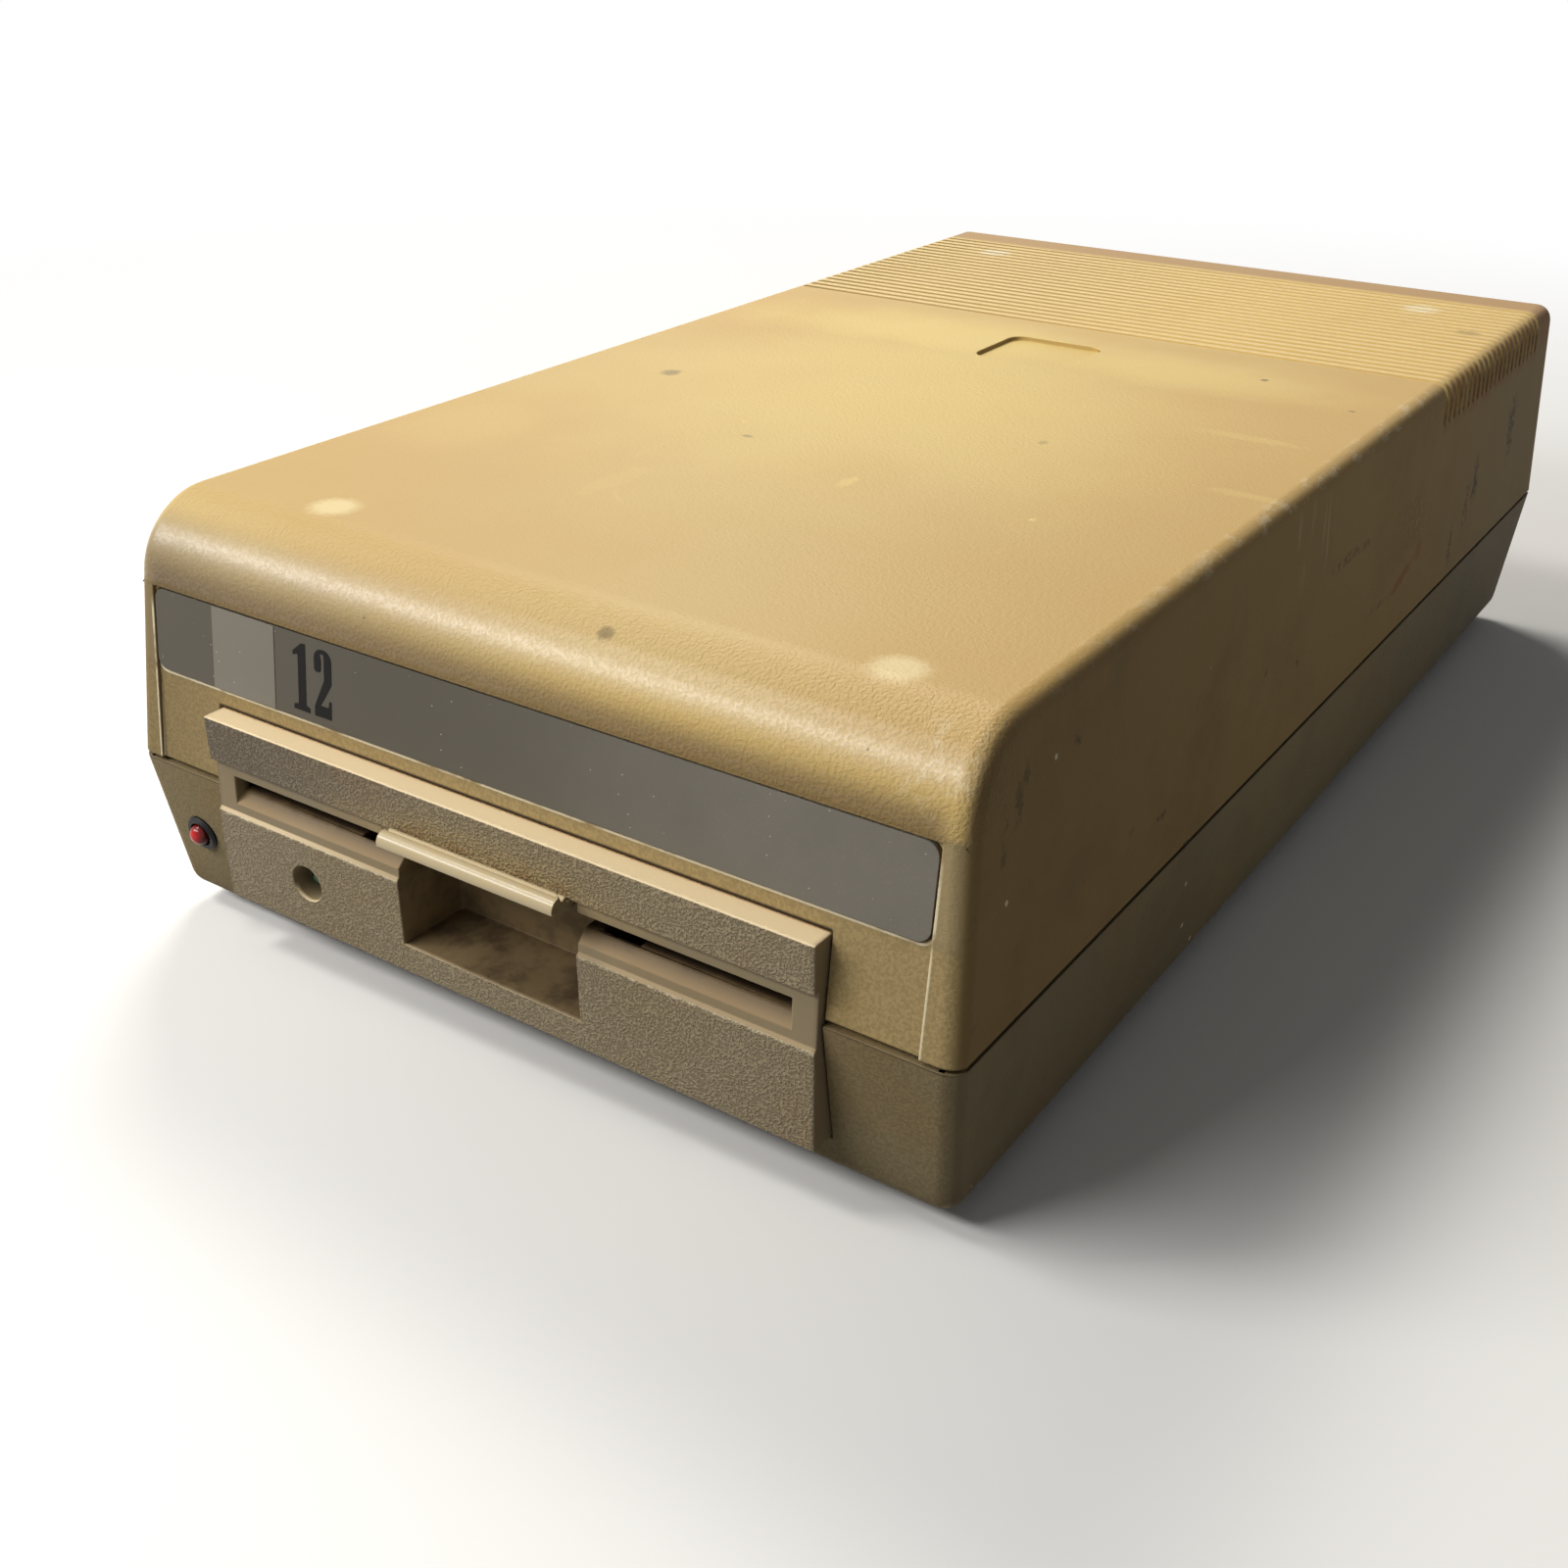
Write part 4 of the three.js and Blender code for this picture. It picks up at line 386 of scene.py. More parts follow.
class Paint(Nodes):
    """One material. Its x, y and z are in millimetres, from the middle of the seam line's front edge."""

    def __init__(self, name):
        self.material = bpy.data.materials.new(name)
        self.material.use_nodes = True
        super().__init__(self.material.node_tree)
        self.tree.nodes.clear()
        self.place = self.node("ShaderNodeTexCoord").outputs["Object"]
        apart = self.node("ShaderNodeSeparateXYZ", inputs={0: self.place})
        self.x, self.y, self.z = (Number(self, apart.outputs[i]) / MM for i in range(3))
        self.y = self.y + (CASE_RUN - BAR_DEPTH) / 2
        facing = self.node("ShaderNodeNewGeometry").outputs["Normal"]
        turned_to = self.node("ShaderNodeSeparateXYZ", inputs={0: facing})
        self.facing_x, self.facing_y, self.facing_z = (Number(self, turned_to.outputs[i]) for i in range(3))

    def smooth(self, number, low, high):
        """0 below low, 1 over high and smooth between; low may be the greater one."""
        inputs = {"Value": number, "From Min": low, "From Max": high}
        made = self.node("ShaderNodeMapRange", {"interpolation_type": "SMOOTHSTEP"}, inputs)
        return Number(self, made.outputs["Result"])

    def within(self, number, low, high, soft):
        """1 between low and high, and 0 outside them."""
        return self.smooth(number, low - soft, low + soft) * self.smooth(number, high + soft, high - soft)

    def tint(self, colour, amount):
        """Lays a colour over the base colour."""
        self.base = self.mix(self.base, colour, amount)

    def stretched(self, stretch):
        if stretch is None:
            return self.place
        made = self.node("ShaderNodeVectorMath", {"operation": "MULTIPLY"}, {0: self.place, 1: stretch})
        return made.outputs[0]

    def noise(self, size, detail=2.0, rough=0.5, stretch=None, shift=0.0):
        """Noise from 0 to 1 with features of about size millimetres."""
        inputs = {"Vector": self.stretched(stretch), "Scale": 1 / (size * MM), "Detail": detail,
                  "Roughness": rough, "W": shift}
        made = self.node("ShaderNodeTexNoise", {"noise_dimensions": "4D"}, inputs)
        return Number(self, made.outputs[0])

    def clouds(self, low, high, *given, **more):
        """Clouds of noise: 0 where it is below low, and 1 where it is over high."""
        return self.smooth(self.noise(*given, **more), low, high)

    def specks(self, pitch, radius, share, stretch=None):
        """Scattered round specks in cells of pitch millimetres, of which a share holds one."""
        inputs = {"Vector": self.stretched(stretch), "Scale": 1 / (pitch * MM)}
        cells = self.node("ShaderNodeTexVoronoi", inputs=inputs).outputs
        chance = self.node("ShaderNodeSeparateColor", inputs={0: cells["Color"]}).outputs[0]
        spot = self.smooth(cells["Distance"], radius / pitch, radius * 0.6 / pitch)
        return spot * self.smooth(chance, 0.99 - share, 1.01 - share)

    def away(self, u, v, at, reach=(1, 1)):
        """Distance from at, in shares of a reach that differs along u and v."""
        return self.maths("SQRT", ((u - at[0]) / reach[0]) ** 2 + ((v - at[1]) / reach[1]) ** 2)

    def blob(self, u, v, at, reach, soft=0.4, ragged=0.0, grain=2.0):
        """1 inside an ellipse round at, with soft and ragged edges."""
        away = self.away(u, v, at, reach)
        if ragged:
            away = away + (self.noise(grain, 3.0) - 0.5) * ragged
        return self.smooth(away, 1 + soft / 2, 1 - soft / 2)

    def blobs(self, u, v, places, soft, ragged, grain):
        """The strongest of several blobs, each given as its place, its reach and its weight."""
        return self.most(*[
            self.blob(u, v, at, reach, soft, ragged, grain) * weight for at, reach, weight in places])

    def frame_line(self, u, v, middle, half, radius, thickness):
        """1 on a thin line round a rectangle with round corners."""
        across = self.most(abs(u - middle[0]) - (half[0] - radius), 0.0)
        along = self.most(abs(v - middle[1]) - (half[1] - radius), 0.0)
        away = abs(self.maths("SQRT", across * across + along * along) - radius)
        return self.smooth(away, thickness, thickness * 0.4)

    def finish(self, roughness, height=None, relief=0.05, metallic=0.0, coat=0.0, coat_roughness=0.06,
               gloss=0.5):
        """Ends the material. Height is in millimetres times relief, and gloss is its specular level."""
        inputs = {"Base Color": self.base, "Roughness": roughness, "Metallic": metallic, "Coat Weight": coat,
                  "Coat Roughness": coat_roughness, "Specular IOR Level": gloss}
        if height is not None:
            bump = {"Height": height, "Distance": relief * MM, "Strength": 1.0}
            inputs["Normal"] = self.node("ShaderNodeBump", inputs=bump).outputs[0]
        shader = self.node("ShaderNodeBsdfPrincipled", inputs=inputs)
        self.node("ShaderNodeOutputMaterial", inputs={"Surface": shader.outputs[0]})
        return self.material


def spread(name, template, material, sizes, points):
    """Sets copies of template on the points of a small tree, and returns them as one plain mesh."""
    tree = bpy.data.node_groups.new(name, "GeometryNodeTree")
    tree.interface.new_socket("Geometry", in_out="OUTPUT", socket_type="NodeSocketGeometry")
    kinds = {int: "NodeSocketInt", float: "NodeSocketFloat", tuple: "NodeSocketVector"}
    for label, value in sizes.items():
        tree.interface.new_socket(label, in_out="INPUT", socket_type=kinds[type(value)])
    made = Nodes(tree)
    given = made.node("NodeGroupInput").outputs
    piece = made.node("GeometryNodeObjectInfo", inputs={"Object": template})
    copies = made.node("GeometryNodeInstanceOnPoints", inputs={
        "Points": points(made, given), "Instance": piece.outputs["Geometry"]})
    real = made.node("GeometryNodeRealizeInstances", inputs={"Geometry": copies.outputs["Instances"]})
    painted = made.node("GeometryNodeSetMaterial", inputs={
        "Geometry": real.outputs["Geometry"], "Material": material})
    made.node("NodeGroupOutput", inputs={"Geometry": painted.outputs["Geometry"]})
    holder = link(name, bpy.data.meshes.new(name))
    modifier = holder.modifiers.new("Copies", "NODES")
    modifier.node_group = tree
    for item in tree.interface.items_tree:
        if item.in_out == "INPUT":
            modifier[item.identifier] = sizes[item.name]
    settle(holder)
    bpy.data.objects.remove(template)
    return holder


def on_line(made, given):
    line = made.node("GeometryNodeMeshLine", {"mode": "OFFSET"}, {
        "Count": given["Count"], "Start Location": given["Start"], "Offset": given["Step"]})
    return line.outputs["Mesh"]


def on_grid(made, given):
    grid = made.node("GeometryNodeMeshGrid", inputs={
        "Size X": given["Across"], "Size Y": given["Along"], "Vertices X": 2, "Vertices Y": 2})
    moved = made.node("GeometryNodeTransform", inputs={
        "Geometry": grid.outputs["Mesh"], "Translation": given["Middle"]})
    return moved.outputs["Geometry"]


def on_arc(made, given):
    arc = made.node("GeometryNodeCurveArc", inputs={
        "Resolution": given["Count"], "Radius": given["Radius"],
        "Start Angle": given["First"], "Sweep Angle": given["Sweep"]})
    wire = made.node("GeometryNodeCurveToMesh", inputs={"Curve": arc.outputs["Curve"]})
    stood = made.node("GeometryNodeTransform", inputs={
        "Geometry": wire.outputs["Mesh"], "Translation": given["Middle"], "Rotation": (math.pi / 2, 0, 0)})
    return stood.outputs["Geometry"]


def install(piece, body, slot, material, *nodes):
    """Gives a finished piece its material, and lets it stand for nodes of the model."""
    piece.data.materials.clear()
    piece.data.materials.append(material)
    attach(piece, body)
    if nodes:
        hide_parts(*nodes)
    return piece


# Case shells

SHELL_ARC_STEPS = 14


def upper_front(s, z):
    return TOP_LEAN.front * (z - s.seam_height) / (s.case_height - s.seam_height)


def upper_back(s, z):
    return s.case_depth - TOP_LEAN.back * (z - s.seam_height) / (s.case_height - s.seam_height)


def lower_front(s, z):
    return BASE_LEAN.front * (s.seam_height - z) / (s.seam_height - UNDERSIDE)


def lower_back(s, z):
    return s.case_depth - BASE_LEAN.back * (s.seam_height - z) / (s.seam_height - UNDERSIDE)


def upper_profile(s, inset, low):
    top = s.case_height - inset
    return [
        (upper_front(s, low) + inset, low, 0),
        (upper_back(s, low) - inset, low, 0),
        (upper_back(s, top) - inset, top, max(s.corner_radius - inset, 0.3)),
        (upper_front(s, top) + inset, top, s.front_radius - inset),
    ]


def lower_profile(s, inset, high):
    low = UNDERSIDE + inset
    radius = max(s.corner_radius - inset, 0.3)
    return [
        (lower_front(s, high) + inset, high, 0),
        (lower_front(s, low) + inset, low, radius),
        (lower_back(s, low) - inset, low, radius),
        (lower_back(s, high) - inset, high, 0),
    ]


def shell_block(name, s, profile, inset, level, lean, rise, steps=6):
    """A case-shaped block: rings along X, drawn in round both ends, that lean in with height."""
    half = s.case_width / 2
    edge = max(s.edge_radius - inset, 0.6)
    turns = [math.pi / 2 * k / steps for k in range(steps + 1)]
    ends = [(half - inset - edge * (1 - math.cos(t)), edge * (1 - math.sin(t))) for t in turns]
    stations = [(-x, drawn_in) for x, drawn_in in ends] + [(x, drawn_in) for x, drawn_in in reversed(ends)]
    rings = []
    for x, drawn_in in stations:
        points = rounded(profile(s, inset + drawn_in, level), SHELL_ARC_STEPS)
        rings.append([(x * (1 - lean / half * (z - s.seam_height) / rise), y, z) for y, z in points])
    return loft(name, rings)


def upper_block(name, s, inset, low):
    return shell_block(name, s, upper_profile, inset, low, TOP_LEAN.side, s.case_height - s.seam_height)


def lower_block(name, s, inset, high):
    return shell_block(name, s, lower_profile, inset, high, BASE_LEAN.side, UNDERSIDE - s.seam_height)


FASCIA_HALF = 73.9
FIT_GAP = 0.3
REAR_WINDOW = SimpleNamespace(half=82, bottom=14, top=62, inset=17)


def fascia_window(s):
    return box("window", (-FASCIA_HALF - FIT_GAP, FASCIA_HALF + FIT_GAP), (-OVERRUN, OVERRUN),
               (s.fascia_bottom - FIT_GAP, s.fascia_top + FIT_GAP))


def rear_window(s):
    w = REAR_WINDOW
    return prism("rear window", rectangle((-w.half, w.half), (w.bottom, w.top), s.edge_radius),
                 (s.case_depth - w.inset, s.case_depth + OVERRUN), "Y")


PLATE_RADIUS = 2.6
STEP_DEPTH = 0.8
BED_DEPTH = 1.7


def plate_step(s):
    """The shallow step in the upper front, from the plate's top edge down to the seam."""
    half = s.plate_width / 2 + FIT_GAP
    low, top = s.seam_height - OVERRUN, s.plate_top + FIT_GAP
    return prism("step", [
        (-OVERRUN, low, 0), (upper_front(s, low) + STEP_DEPTH, low, 0),
        (upper_front(s, top) + STEP_DEPTH, top, 0), (-OVERRUN, top, 0)], (-half, half), "X")


def plate_bed(s):
    """The bed that the nameplate lies in, drawn upright and then leant with the wall."""
    half = s.plate_width / 2 + FIT_GAP
    corners = rectangle((-half, half), (s.plate_bottom - FIT_GAP, s.plate_top + FIT_GAP),
                        PLATE_RADIUS + FIT_GAP)
    points = rounded(corners)
    return loft("bed", [[(x, y + upper_front(s, z), z) for x, z in points] for y in (-OVERRUN, BED_DEPTH)])


GROOVE_FIRST = 256
GROOVE_LAST = 348
GROOVE_DROP = 11.5
GROOVE_TAPER = 3
SQUARE_SIDE = 26
SQUARE_Y = 224.3
SQUARE_DEPTH = 1.1
SQUARE_RADIUS = 4


def groove_tools(s):
    """Cutters for the grooves: they follow the top and its side edges, and run out on the sides."""

    def side(z, inset):
        lean = TOP_LEAN.side * (z - s.seam_height) / (s.case_height - s.seam_height)
        return s.case_width / 2 - lean - inset

    low = s.case_height - GROOVE_DROP
    floor = s.case_height - s.groove_depth
    deep = low + GROOVE_TAPER
    radius = s.edge_radius - s.groove_depth
    right = [(side(low, 0) + 0.05, low, 0), (side(deep, s.groove_depth), deep, 2),
             (side(floor, s.groove_depth), floor, radius)]
    left = [(-x, z, r) for x, z, r in reversed(right)]
    outer = [(-s.case_width, low, 0), (-s.case_width, floor + OVERRUN, 0),
             (s.case_width, floor + OVERRUN, 0), (s.case_width, low, 0)]
    start = GROOVE_FIRST - s.groove_width / 2
    template = prism("groove", right + left + outer, (start, start + s.groove_width), "Y")
    step = (GROOVE_LAST - GROOVE_FIRST) / (s.groove_count - 1) * MM
    sizes = {"Count": s.groove_count, "Start": (0.0, 0.0, 0.0), "Step": (0.0, step, 0.0)}
    return spread("grooves", template, None, sizes, on_line)


def square_bed(s):
    half = SQUARE_SIDE / 2
    corners = rectangle((-half, half), (SQUARE_Y - half, SQUARE_Y + half), SQUARE_RADIUS)
    return prism("square", corners, (s.case_height - SQUARE_DEPTH, s.case_height + OVERRUN), "Z")


LIP = SimpleNamespace(inset=3.3, thickness=1.7, rise=3.4, root=5, corner=1.5)
SLEEVE_WALL = 2
SLEEVE_SETBACK = 0.05


def lip_top(s):
    return s.seam_height + s.seam_gap / 2 + LIP.rise


def sleeve(s, *rows):
    """A block round the rear opening, from the rear panel out to the back wall, by rows of (y, z)."""
    half = REAR_WINDOW.half + SLEEVE_WALL
    front = s.case_depth - REAR_WINDOW.inset + SLEEVE_SETBACK
    points = [(front, rows[0][1], 0), *[(y, z, 0) for y, z in rows], (front, rows[-1][1], 0)]
    return prism("sleeve", points, (-half, half), "X")


class DRIVE_OT_top_cover(bpy.types.Operator):
    """Build the upper shell with its grooves, square bed and nameplate recess"""

    bl_idname = "drive.top_cover"
    bl_label = "Top Cover"

    def execute(self, context):
        s = sizes_mm(context)
        low = s.seam_height + s.seam_gap / 2
        cover = upper_block("upper_shell", s, 0, low)
        cut(cover, upper_block("hollow", s, WALL, low - OVERRUN))
        rows = (lip_top(s) + FIT_GAP, REAR_WINDOW.top + SLEEVE_WALL)
        join(cover, sleeve(s, *[(upper_back(s, z) - WALL / 2, z) for z in rows]))
        cut(cover, plate_step(s), plate_bed(s), square_bed(s), fascia_window(s), rear_window(s))
        cut(cover, groove_tools(s))
        soften(cover, SHELL_SOFTNESS, 3)
        material = aged_shell("Aged tan shell", context.scene.drive_colours, upper=True)
        install(cover, "drive", "tan_plastic", material, "top_cover")
        return {"FINISHED"}


BOSS_X = 87.5
BOSS_INSET = 25
BOSS_RADIUS = 5.3
SCREW_ROOM = 3.8
SCREW_SEAT = 26
SHELL_SOFTNESS = 0.35
FOOT_X = 67
FOOT_FRONT = 27
FOOT_BACK = 339
FOOT_BED = 1
VENTS = SimpleNamespace(count=9, length=46, width=3, pitch=6.5, x=-36, y=300)
LIGHT = SimpleNamespace(x=-86.3, z=22.2, radius=2.5, rim=4.25, body=3.6, depth=8, tip=-3.1)


def light_place(s):
    """The activity light's place, square to the leaning wall."""
    lean = math.atan2(BASE_LEAN.front, s.seam_height - UNDERSIDE)
    return Matrix.Translation((LIGHT.x, lower_front(s, LIGHT.z), LIGHT.z)) @ Matrix.Rotation(lean, 4, "X")


def seam_lip(s):
    """The wall that stands up behind the groove."""
    span = (s.seam_height - LIP.root, lip_top(s))

    def ring(inset, more):
        half = s.case_width / 2 - inset
        corners = rectangle((-half, half), (inset, s.case_depth - inset), LIP.corner)
        return prism("lip", corners, (span[0] - more, span[1] + more), "Z")

    return cut(ring(LIP.inset, 0), ring(LIP.inset + LIP.thickness, 1))


class DRIVE_OT_bottom_cover(bpy.types.Operator):
    """Build the lower shell with its vents, screw wells and seam lip"""

    bl_idname = "drive.bottom_cover"
    bl_label = "Bottom Cover"

    def execute(self, context):
        s = sizes_mm(context)
        high = s.seam_height - s.seam_gap / 2
        cover = lower_block("lower_shell", s, 0, high)
        cut(cover, lower_block("hollow", s, WALL, high + OVERRUN))
        corners = [(x, y) for x in (-BOSS_X, BOSS_X) for y in (BOSS_INSET, s.case_depth - BOSS_INSET)]
        feet = [(x, y) for x in (-FOOT_X, FOOT_X) for y in (FOOT_FRONT, FOOT_BACK)]
        bosses = [rod("boss", BOSS_RADIUS, (UNDERSIDE + 1, high - 1), centre=at) for at in corners]
        foot, lip = REAR_WINDOW.bottom - SLEEVE_WALL, s.case_depth - LIP.inset
        rows = (lower_back(s, foot) - WALL / 2, foot), (lip, s.seam_height - LIP.root), (lip, lip_top(s))
        join(cover, seam_lip(s), *bosses, sleeve(s, *rows))
        wells = [rod("well", SCREW_ROOM, (-OVERRUN, SCREW_SEAT), centre=at) for at in corners]
        beds = [rod("bed", s.foot_radius + FIT_GAP, (-OVERRUN, UNDERSIDE + FOOT_BED), centre=at)
                for at in feet]
        hole = rod("hole", LIGHT.body + FIT_GAP, (-OVERRUN, OVERRUN / 2), "Y", place=light_place(s))
        cut(cover, fascia_window(s), rear_window(s), hole, *wells, *beds)
        cut(cover, self.vents())
        soften(cover, SHELL_SOFTNESS, 3)
        material = aged_shell("Aged olive shell", context.scene.drive_colours, upper=False)
        install(cover, "drive", "olive_plastic", material, "bottom_cover")
        return {"FINISHED"}

    def vents(self):
        v = VENTS
        first = v.y - v.pitch * (v.count - 1) / 2
        corners = rectangle((v.x - v.length / 2, v.x + v.length / 2),
                            (first - v.width / 2, first + v.width / 2), v.width / 2 - 0.05)
        template = prism("vent", corners, (0, UNDERSIDE + WALL + 2), "Z")
        sizes = {"Count": v.count, "Start": (0.0, 0.0, 0.0), "Step": (0.0, v.pitch * MM, 0.0)}
        return spread("vents", template, None, sizes, on_line)


# Fascia and gate bar

FASCIA = SimpleNamespace(
    depth=8, wall=3.2, proud_top=2.7, proud_bottom=0.1, cheek=2.5, tub=2, pocket_floor=19.4, skin=0.5)
SHELF = SimpleNamespace(setback=1.4, lip=34.1, lip_top=34.95, window=36.7, ramp=39.2, run=2.6)
SLOT_FLOOR = SimpleNamespace(back=14, thickness=2, notch=(26, 34.6), notch_front=2.1)
SLOT_HALF = 68.6
LAMP = SimpleNamespace(x=-49.3, z=24.1, hole=4.1, boss=5.5, depth=7, radius=2.5, tip=1.6)


def fascia_face(s, z):
    share = (z - s.fascia_bottom) / (s.fascia_top - s.fascia_bottom)
    return -FASCIA.proud_bottom - (FASCIA.proud_top - FASCIA.proud_bottom) * share


class DRIVE_OT_fascia(bpy.types.Operator):
    """Build the plate with the disk slot, the finger pocket and the lamp hole"""

    bl_idname = "drive.fascia"
    bl_label = "Fascia"

    def execute(self, context):
        s = sizes_mm(context)
        f, half = FASCIA, s.pocket_width / 2
        plate = prism("fascia", [
            (fascia_face(s, s.fascia_bottom), s.fascia_bottom, 0.6), (f.depth, s.fascia_bottom, 0),
            (f.depth, s.fascia_top, 0), (fascia_face(s, s.fascia_top), s.fascia_top, 0.5),
        ], (-FASCIA_HALF, FASCIA_HALF), "X", 4)
        inside = FASCIA_HALF - f.cheek
        cut(plate, box("hollow", (-inside, inside), (f.wall, f.depth + OVERRUN),
                       (s.fascia_bottom + f.cheek, s.fascia_top - f.cheek)))
        tub = box("tub", (-half - f.tub, half + f.tub), (f.skin, s.pocket_depth + f.tub),
                  (f.pocket_floor - f.tub, s.slot_bottom))
        boss = rod("boss", LAMP.boss, (f.skin, LAMP.depth), "Y", (LAMP.x, LAMP.z))
        floors = [box("slot floor", (x, x + SLOT_HALF - half), (0, SLOT_FLOOR.back),
                      (SHELF.ramp - SLOT_FLOOR.thickness, SHELF.ramp)) for x in (-SLOT_HALF, half)]
        join(plate, tub, boss, *floors)
        cut(plate, self.shelf(s), self.slot(s), self.pocket(s, half), *self.notches())
        lamp_hole = rod("lamp hole", LAMP.hole, (-OVERRUN, OVERRUN), "Y", (LAMP.x, LAMP.z))
        notch = box("notch", (-half - f.tub, half + f.tub), (f.wall, OVERRUN),
                    (s.band_bottom - 1, s.fascia_top + 1))
        cut(plate, lamp_hole, notch)
        material = fascia_finish(context.scene.drive_colours)
        install(soften(plate, 0.3, 3), "drive", "fascia_plastic", material, "drive_fascia")
        return {"FINISHED"}

    def notches(self):
        """A gap in the slot's floor on each side of the pocket."""
        near, far = SLOT_FLOOR.notch
        for xs in ((near, far), (-far, -near)):
            yield box("notch", xs, (SLOT_FLOOR.notch_front, OVERRUN), (SHELF.ramp - 3, SHELF.ramp + 1))

    def shelf(self, s):
        """The long recess under the band, with a sloped lip below."""
        back = fascia_face(s, s.band_bottom) + SHELF.setback
        lip = fascia_face(s, SHELF.lip)
        return prism("shelf", [
            (-OVERRUN, SHELF.lip, 0), (lip, SHELF.lip, 0), (back, SHELF.lip_top, 0.5),
            (back, s.band_bottom, 0), (-OVERRUN, s.band_bottom, 0),
        ], (-FASCIA_HALF - 1, FASCIA_HALF + 1), "X", 5)

    def slot(self, s):
        """The slot, with a ramp at its lower edge that leads the disk in."""
        back = fascia_face(s, s.band_bottom) + SHELF.setback
        return prism("slot", [
            (-OVERRUN, SHELF.window, 0), (back, SHELF.window, 0), (back + SHELF.run, SHELF.ramp, 2.2),
            (OVERRUN * 2, SHELF.ramp, 0), (OVERRUN * 2, s.slot_top, 0), (-OVERRUN, s.slot_top, 0),
        ], (-SLOT_HALF, SLOT_HALF), "X", 6)

    def pocket(self, s, half):
        corners = rectangle((-half, half), (-OVERRUN, s.pocket_depth), 0)
        corners[2:] = [(half, s.pocket_depth, 1.2), (-half, s.pocket_depth, 1.2)]
        return prism("pocket", corners, (FASCIA.pocket_floor, s.band_bottom), "Z", 5)


# The section of the gate bar in front of its plate, as corners (y, z, radius).
GATE_BAR = [
    (-6.9, 45.0, 0.35), (-7.35, 48.0, 2.1), (-4.75, 47.85, 0.25), (-4.45, 46.85, 0.3), (-3.7, 46.75, 0.4),
    (-3.2, 47.3, 0.25), (-2.55, 47.1, 0.25), (-2.35, 45.9, 0.2),
]
GATE_SKIRT = 44.4
GATE_PLATE = SimpleNamespace(
    bottom=51.6, top=53.6, bend=23, y=44, z=57.6, tube=3.3, hub=3.6, bore=2.3, thickness=2.2, side_room=0.7)


class DRIVE_OT_gate_lever(bpy.types.Operator):
    """Build the cream bar that is pressed to load the disk, with the lever behind it"""

    bl_idname = "drive.gate_lever"
    bl_label = "Gate Lever"

    def execute(self, context):
        s = sizes_mm(context)
        g, half = GATE_PLATE, s.pocket_width / 2 - GATE_PLATE.side_room
        front = FASCIA.wall + FIT_GAP
        under = [(0, GATE_SKIRT, 0.3), (-1.7, GATE_SKIRT - 0.5, 0.6)]
        profile = GATE_BAR + [
            (front, 45.9, 0), (front, g.top, 1), (g.bend, g.top, 2), (g.y, g.z + g.tube, 0),
            (g.y, g.z - g.tube, 0), (g.bend + 4, g.bottom, 2), (front + g.thickness, g.bottom, 0.5),
            (front + g.thickness, GATE_SKIRT, 0.4), *under,
        ]
        lever = prism("gate_bar", profile, (-half, half), "X", 10)
        join(lever, rod("hub", g.hub, (-half, half), "X", (g.y, g.z)))
        cut(lever, rod("bore", g.bore, (-half - 1, half + 1), "X", (g.y, g.z)))
        material = gate_finish(context.scene.drive_colours)
        install(soften(lever, 0.2, 3, 50), "gate", "cream_plastic", material, "gate_lever")
        return {"FINISHED"}


# Nameplate and number

NAMEPLATE = SimpleNamespace(
    thickness=1.2, lift=0.2, field=(-74.6, -56.5), field_run=(-0.12, 0.2), number=(-51.5, -39.6), inset=1.8,
    stroke_run=(-0.08, 0.1), width_share=0.86)

# The outline of each plain digit on a field one wide and one high, as corners (across, up, round).
DIGITS = {
    "1": [(0.08, 0, 0), (0.95, 0, 0), (0.95, 0.07, 0.03), (0.74, 0.09, 0.05), (0.74, 1, 0), (0.52, 1, 0.1),
          (0.06, 0.86, 0), (0.06, 0.80, 0), (0.33, 0.83, 0.05), (0.33, 0.09, 0.05), (0.08, 0.07, 0.03)],
    "2": [(0.05, 0, 0), (0.95, 0, 0), (0.95, 0.27, 0), (0.84, 0.27, 0), (0.80, 0.17, 0.08),
          (0.36, 0.17, 0.02), (0.97, 0.52, 0.25), (0.97, 1.0, 0.42), (0.05, 1.0, 0.40), (0.05, 0.66, 0.14),
          (0.42, 0.66, 0.14), (0.42, 0.84, 0.10), (0.36, 0.93, 0.04), (0.58, 0.95, 0.10),
          (0.58, 0.56, 0.10), (0.05, 0.14, 0.04)],
}


